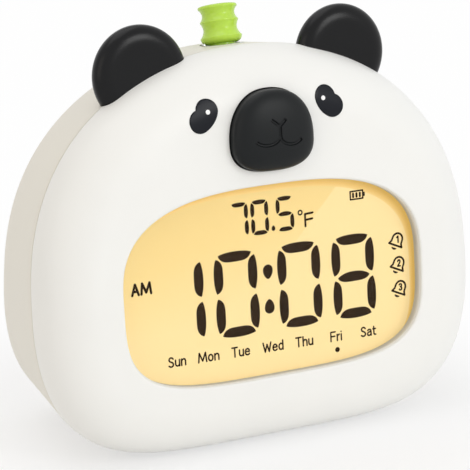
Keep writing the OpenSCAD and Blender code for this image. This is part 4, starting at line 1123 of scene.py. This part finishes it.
# ---- Eyes ----
# Black two-lobed inlays of glossy ABS, glued into pockets. They follow the rounding of
# the face, and white glints are printed on them.
eye_black = plastic("gloss_black", (0.0075, 0.0088, 0.013), 0.3, 0.0, 0.5, 0.05, 0.18)
glint_white = plastic("glint_white", (0.9, 0.9, 0.9), 0.25, 0.0, 0.5, 0.01)
eye_proud = 0.12
glint_proud = 0.06
glint_r = 0.62
glint_x = 17.1
glint_shift = -0.65
glint_up = 1.0
eye_rim = 0.08
inlay_high = 3
for name, side in (("left", -1), ("right", 1)):
    eye = prism(f"{name}_eye_inlay", eye_line(side), eye_low, inlay_high, on_face, eye_black)
    cut(eye, [face_form(-eye_proud)], "INTERSECT")
    cut(eye, [face_form(eye_sink - eye_gap)])
    rim = eye.modifiers.new("rim", "BEVEL")
    rim.width = eye_rim * mm
    rim.segments = 2
    rim.limit_method = "ANGLE"
    rim.angle_limit = math.radians(50)
    bake_modifiers(eye)
    soften(eye, 40)
    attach(eye, "housing")
    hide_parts(f"{name}_eye")
glints = []
for side in (-1, 1):
    spot = circle(glint_r, 40) + (side * glint_x + glint_shift, eye_v + glint_up)
    glint = prism("glint", spot, -3, inlay_high, on_face, glint_white)
    cut(glint, [face_form(-eye_proud - glint_proud)], "INTERSECT")
    cut(glint, [face_form(-eye_proud)])
    glints.append(glint)
with bpy.context.temp_override(active_object=glints[0], selected_editable_objects=glints):
    bpy.ops.object.join()
glint = glints[0]
glint.name = "eye_glints"
soften(glint, 40)
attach(glint, "housing")
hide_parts("eye_highlights")

# ---- Nose key ----
# A black domed key, moulded in satin ABS and pressed for snooze and light. It slides on
# posts over a silicone dome, and a small mouth is sunk into it.
nose_side_h = 1.6
nose_proud = 5.6
nose_power = 0.85
nose_black = plastic("nose_satin_black", (0.0035, 0.0048, 0.0056), 0.42, 0.006, 0.35, 0.05, 0.25)


def nose_height(t):
    """The dome's height at an angle from its rim, at zero, to its middle."""
    return nose_side_h + (nose_proud - nose_side_h) * math.sin(t) ** nose_power


nose_foot = -3.45
nose_steps = [(1.0, nose_foot), (1.0, -1.0)] + [
    (math.cos(t) ** nose_power, nose_height(t)) for t in np.radians(np.linspace(0, 89.5, 40))
]
nose_rings = [raised(on_face, nose_line() * size + (0, nose_v), h) for size, h in nose_steps]
nose = piece("nose_dome_key", *skin(nose_rings), nose_black)


def dome_height(x, v):
    """How far the key's dome stands out at a place on the face."""
    half_h = nose_up if v >= nose_v else nose_down
    power = nose_powers[0][0] if v >= nose_v else nose_powers[1][0]
    scale = (abs(x / nose_half_w) ** power + abs((v - nose_v) / half_h) ** power) ** (1 / power)
    return nose_height(math.acos(min(1.0, scale) ** (1 / nose_power)))


def groove(path, radius, sink, sides=12):
    """The tool of a round-bottomed groove along places on the dome."""
    centres = [Vector(placed(on_face, [(x, v, dome_height(x, v) - sink)])[0]) for x, v in path]
    rings = []
    for i, c in enumerate(centres):
        along = (centres[min(i + 1, len(path) - 1)] - centres[max(i - 1, 0)]).normalized()
        side = along.cross(on_face.to_3x3() @ Vector((0, 0, 1))).normalized()
        up = side.cross(along)
        rings.append([c + (side * math.cos(a) + up * math.sin(a)) * radius * mm
                      for a in np.linspace(0, 2 * math.pi, sides, endpoint=False)])
    return piece("tool", *skin([np.array(r) for r in rings]))


mouth_r = 0.46
mouth_sink = 0.06
mouth_mid_x = 0.2
fork_v = 87.7
fork_tips = ((-2.15, 89.55), (2.1, 89.4))
mouth_paths = [
    [(mouth_mid_x + (x - mouth_mid_x) * u, fork_v + (v - fork_v) * u) for u in np.linspace(1, -0.08, 8)]
    for x, v in fork_tips
]
smile_w = 3.45
smile_h = 2.45
smile_mid_v = 85.1
left_smile_w = 3.7
left_smile_rise = 0.35
stem = [(mouth_mid_x, fork_v - (fork_v - smile_mid_v) * u) for u in np.linspace(-0.1, 1, 5)]
right_smile = [(mouth_mid_x + smile_w + smile_w * math.cos(a), smile_mid_v + smile_h * math.sin(a))
               for a in np.radians(np.linspace(180, 328, 18))]
left_smile = [(mouth_mid_x - left_smile_w + left_smile_w * math.cos(a),
               smile_mid_v + left_smile_rise + smile_h * math.sin(a))
              for a in np.radians(np.linspace(-12, -148, 18))]
mouth_paths += [stem + right_smile[1:], left_smile]
for path in mouth_paths:
    cut(nose, [groove(path, mouth_r, mouth_sink)])
soften(nose, 35)
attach(nose, "nose_button")
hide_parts("nose_key")

# ---- Stalk button ----
# A green button, moulded in glossy plastic like a piece of bamboo: three thin beads and
# two hollow waists. Its stem runs in a guide, on a return spring of steel wire.
stalk_green = plastic("stalk_green", (0.50, 0.76, 0.072), 0.22, 0.004, 0.5, 0.04)
stem_r = 4.6
stem_end = 13.0
bead_heights = (1.6, 6.02, 9.85)
bead_round = 0.5
crown_h = 0.5
waist_sink = 0.85
waist_start = 0.05
waist_power = 1.15


def waist(low, high, steps=18):
    """The hollow between two beads, each a pair of radius and height; deepest at its middle."""
    line = []
    for u in np.linspace(0.05, 0.95, steps):
        straight = low[0] + (high[0] - low[0]) * u
        sunk = waist_start + (waist_sink - waist_start) * math.sin(math.pi * u) ** waist_power
        line.append((straight - sunk, low[1] + (high[1] - low[1]) * u))
    return line


def bead_edge(bead, first, last, steps=7):
    return [(bead[0] - bead_round + bead_round * math.cos(a), bead[1] + bead_round * math.sin(a))
            for a in np.radians(np.linspace(first, last, steps))]


beads = list(zip(bead_radii, bead_heights))
neck_r = 3.5
bowl_h = 1.7
bowl_in = 0.06
crown_in = 0.35
crown_foot = beads[2][1] + 0.4
collar = ((stem_r, -1.5), (neck_r, -1.0))
stalk_profile = [(0, -stem_end), (stem_r, -stem_end), *collar]
stalk_profile += [(neck_r + (beads[0][0] - bowl_in - neck_r) * math.sin(a),
                   beads[0][1] - bowl_h * math.cos(a)) for a in np.radians(np.linspace(0, 82, 14))]
stalk_profile += bead_edge(beads[0], 0, 50)
stalk_profile += waist(beads[0], beads[1])
stalk_profile += bead_edge(beads[1], -50, 50)
stalk_profile += waist(beads[1], beads[2])
stalk_profile += bead_edge(beads[2], -50, 70)
stalk_profile += [((beads[2][0] - crown_in) * math.cos(a), crown_foot + crown_h * math.sin(a))
                  for a in np.radians(np.linspace(8, 84, 12))]
stalk_profile.append((0, crown_foot + crown_h))
stalk = lathe("stalk_push_button", stalk_profile, on_stalk, stalk_green, 128, 50)
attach(stalk, "stalk_plunger")
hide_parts("stalk_button")

# The spring stands in the well round the stem, and shortens as the button goes down
steel = plastic("plated_steel", (0.62, 0.62, 0.63), 0.32, 0.004, 0.15, 0.06, metal=1.0)
wire_r = 0.3
coil_r = (stem_r + well_r) / 2
coil_turns = 3.5
coil_steps = 113
well_depth = 5.0
spring_top = 0.4
wire = circle(wire_r, 10) + (coil_r, wire_r - well_depth)
spring_rings = []
for u in np.linspace(0, 1, coil_steps):
    a = 2 * math.pi * coil_turns * u
    out, up = (wire + (0, (spring_top + well_depth - 2 * wire_r) * u)).T
    spring_rings.append(placed(on_stalk, np.column_stack([out * math.cos(a), out * math.sin(a), up])))
spring = piece("stalk_return_spring", *skin(spring_rings), steel)
soften(spring, 50)
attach(spring, "housing")
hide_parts("stalk_spring")
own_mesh(spring)

# ---- Keys on the back ----
# Five grey keys, moulded in ABS with dished tops, which stand on one silicone mat. Their
# names are printed on the shell above them.
key_grey = plastic("key_grey", (0.60, 0.60, 0.585), 0.5, 0.008, 0.35, 0.03)
print_grey = plastic("print_grey", (0.25, 0.25, 0.25), 0.55, 0.0, 0.4, 0.05)
key_proud = 1.2
key_round = 0.5
key_flange_r = key_r + 1.25
key_flange_low = -3.25
key_flange_high = -2.25
key_post_r = 2.0
key_post_end = -4.6
dish_start = 0.6
dish_edge = 1.6
dish_edge_sink = 0.06
dish_sink = 0.22
key_profile = [(0, key_post_end), (key_post_r, key_post_end), (key_post_r, key_flange_low),
               (key_flange_r, key_flange_low), (key_flange_r, key_flange_high), (key_r, key_flange_high),
               (key_r, key_proud - key_round)]
key_profile += [(key_r - key_round + key_round * math.cos(a), key_proud - key_round + key_round * math.sin(a))
                for a in np.radians(np.linspace(10, 80, 6))]
key_profile += [(key_r - dish_start, key_proud), (key_r - dish_edge, key_proud - dish_edge_sink),
                (0, key_proud - dish_sink)]
word_rise = 7.3
word_h = 3.0
sign_h = 5.0
print_t = 0.012
print_out = 0.005
print_squeeze = 0.9


def printed(name, text, size, x, v):
    """Plain lettering on the back, centred on a place and riding on the housing."""
    curve = bpy.data.curves.new(name, "FONT")
    curve.body = text
    curve.size = size
    curve.align_x = "CENTER"
    curve.align_y = "CENTER"
    curve.extrude = print_t
    curve.resolution_u = 6
    draft = bpy.data.objects.new(name, curve)
    bpy.context.scene.collection.objects.link(draft)
    bpy.context.view_layer.update()
    mesh = bpy.data.meshes.new_from_object(draft.evaluated_get(bpy.context.evaluated_depsgraph_get()))
    bpy.data.objects.remove(draft)
    mesh.transform(back_place(x, v) @ Matrix.Translation((0, 0, print_out))
                   @ Matrix.Diagonal((print_squeeze, 1, 1, 1)))
    mesh.materials.clear()
    mesh.materials.append(print_grey)
    label = bpy.data.objects.new(name, mesh)
    bpy.context.scene.collection.objects.link(label)
    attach(label, "housing")


key_words = (("mode", "MODE"), ("set", "SET"), ("up", "+"), ("down", "–"), ("alarm", "ALARM"))
for x, (name, text) in zip(key_xs, key_words):
    key = lathe(f"{name}_round_key", key_profile, back_place(x, key_v), key_grey, 72)
    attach(key, f"{name}_button")
    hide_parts(f"{name}_key")
    printed(f"{name}_word", text, word_h if len(text) > 1 else sign_h, x, key_v + word_rise)

# ---- Power row on the back ----
# The slide switch's ribbed knob between its ON and OFF marks, the reset hole, and the
# black tongue with gilt contacts inside the metal shell of the USB-C socket.
mark_h = 2.5
on_side = 6.4
off_side = -7.1
reset_drop = 3.6
mark_places = (("on", "ON", slide_x + on_side, power_v), ("off", "OFF", slide_x + off_side, power_v),
               ("reset", "RESET", 0, power_v - reset_drop))
for name, text, x, v in mark_places:
    printed(f"{name}_mark", text, mark_h, x, v)


def row_tree(name, material):
    """A row of like bars along x: ribs or contacts."""
    tree, sizes = growth_tree(name, {
        "Count": "NodeSocketInt", "Step": "NodeSocketFloat", "Width": "NodeSocketFloat",
        "Length": "NodeSocketFloat", "Height": "NodeSocketFloat"})
    step = add_node(tree, "ShaderNodeCombineXYZ", {"X": sizes["Step"]})
    line = add_node(tree, "GeometryNodeMeshLine", {"Count": sizes["Count"], "Offset": step.outputs[0]})
    size = add_node(tree, "ShaderNodeCombineXYZ", {
        "X": sizes["Width"], "Y": sizes["Length"], "Z": sizes["Height"]})
    bar = add_node(tree, "GeometryNodeMeshCube", {"Size": size.outputs[0]})
    stamp_at(tree, line.outputs["Mesh"], bar.outputs["Mesh"], material)
    return tree


knob_black = plastic("knob_black", (0.02, 0.02, 0.02), 0.5, 0.01, 0.3, 0.1)
knob_x = slide_x + 1.5
knob_proud = 0.9
rib_count = 4
rib_step = 0.5
rib_sink = 0.06
first_rib = back_place(knob_x, power_v) @ Matrix.Translation(
    (-rib_step * (rib_count - 1) / 2, 0, knob_proud + rib_sink))
ribs = grown("knob_ribs", row_tree("knob_rib_row", knob_black),
             {"Count": rib_count, "Step": rib_step, "Width": 0.22, "Length": 1.8, "Height": 0.24}, first_rib)
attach(ribs, "power_slider")

tongue_w = 6.76
tongue_t = 0.86
tongue_root = -5.0
tongue_tip = -1.3
tongue = prism("usb_tongue", box_line(tongue_w, tongue_t), tongue_root, tongue_tip,
               back_place(usb_x, power_v), knob_black)
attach(tongue, "housing")
gilt = plastic("gilt_contact", (0.86, 0.60, 0.25), 0.3, 0.0, 0.3, 0.04, metal=1.0)
contact_row = row_tree("usb_contact_row", gilt)
contact_count = 12
contact_step = 0.5
contact_up = tongue_t / 2 + 0.01
contact_depth = 2.9
for name, above in (("upper", contact_up), ("lower", -contact_up)):
    pads = grown(f"usb_contacts_{name}", contact_row,
                 {"Count": contact_count, "Step": contact_step, "Width": 0.26, "Length": 0.04, "Height": 2.4},
                 back_place(usb_x, power_v)
                 @ Matrix.Translation((-contact_step * (contact_count - 1) / 2, above, -contact_depth)))
    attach(pads, "housing")

# ---- Inner pieces ----
# Boards, switches and the cell are bought parts, and brackets and mats are stamped or
# moulded. They keep their solids, and get the finish of the real material.
board_green = plastic("solder_mask", (0.02, 0.13, 0.055), 0.3, 0.004, 0.8, 0.2)
chip_black = plastic("moulded_chip", (0.02, 0.02, 0.02), 0.6, 0.01, 0.3, 0.1)
frame_white = plastic("inner_white", (0.8, 0.8, 0.79), 0.55, 0.01, 0.4, 0.02)
cream = plastic("plug_cream", (0.75, 0.70, 0.55), 0.5, 0.01, 0.4, 0.04)
silicone = plastic("silicone_grey", (0.32, 0.32, 0.31), 0.75, 0.01, 0.5, 0.04)
cone_black = plastic("cone_paper", (0.018, 0.018, 0.018), 0.85, 0.05, 0.5, 0.2)
cell_blue = plastic("cell_sleeve", (0.03, 0.20, 0.46), 0.3, 0.004, 1.0, 0.05)
milky = plastic("milky_diffuser", (0.95, 0.86, 0.6), 0.5, 0.0, 0.5, 0.01)
led_yellow = plastic("led_phosphor", (0.95, 0.75, 0.2), 0.4, 0.0, 0.5, 0.02)
finishes = {
    board_green: ("main_board", "nose_board", "stalk_switch_bracket", "key_board", "power_board",
                  "temperature_sensor"),
    chip_black: ("controller_chip", "stalk_switch", "slide_knob", "reset_switch", "battery_holder"),
    frame_white: ("display_frame", "night_light_board", "nose_bracket", "stalk_guide"),
    cream: ("board_parts", "stalk_switch_stem"),
    silicone: ("nose_dome", "keypad_mat"),
    cone_black: ("speaker_cone",),
    cell_blue: ("battery_cell",),
    milky: ("diffuser",),
    led_yellow: ("night_light_leds",),
    steel: ("stalk_clip", "usb_socket", "slide_switch", "speaker_basket", "speaker_magnet",
            "speaker_clamps", "battery_contacts", "case_screws", "display_screws", "board_screws",
            "bracket_screws", "guide_screws", "battery_screws"),
}
for material, names in finishes.items():
    for name in names:
        dress(name, material)
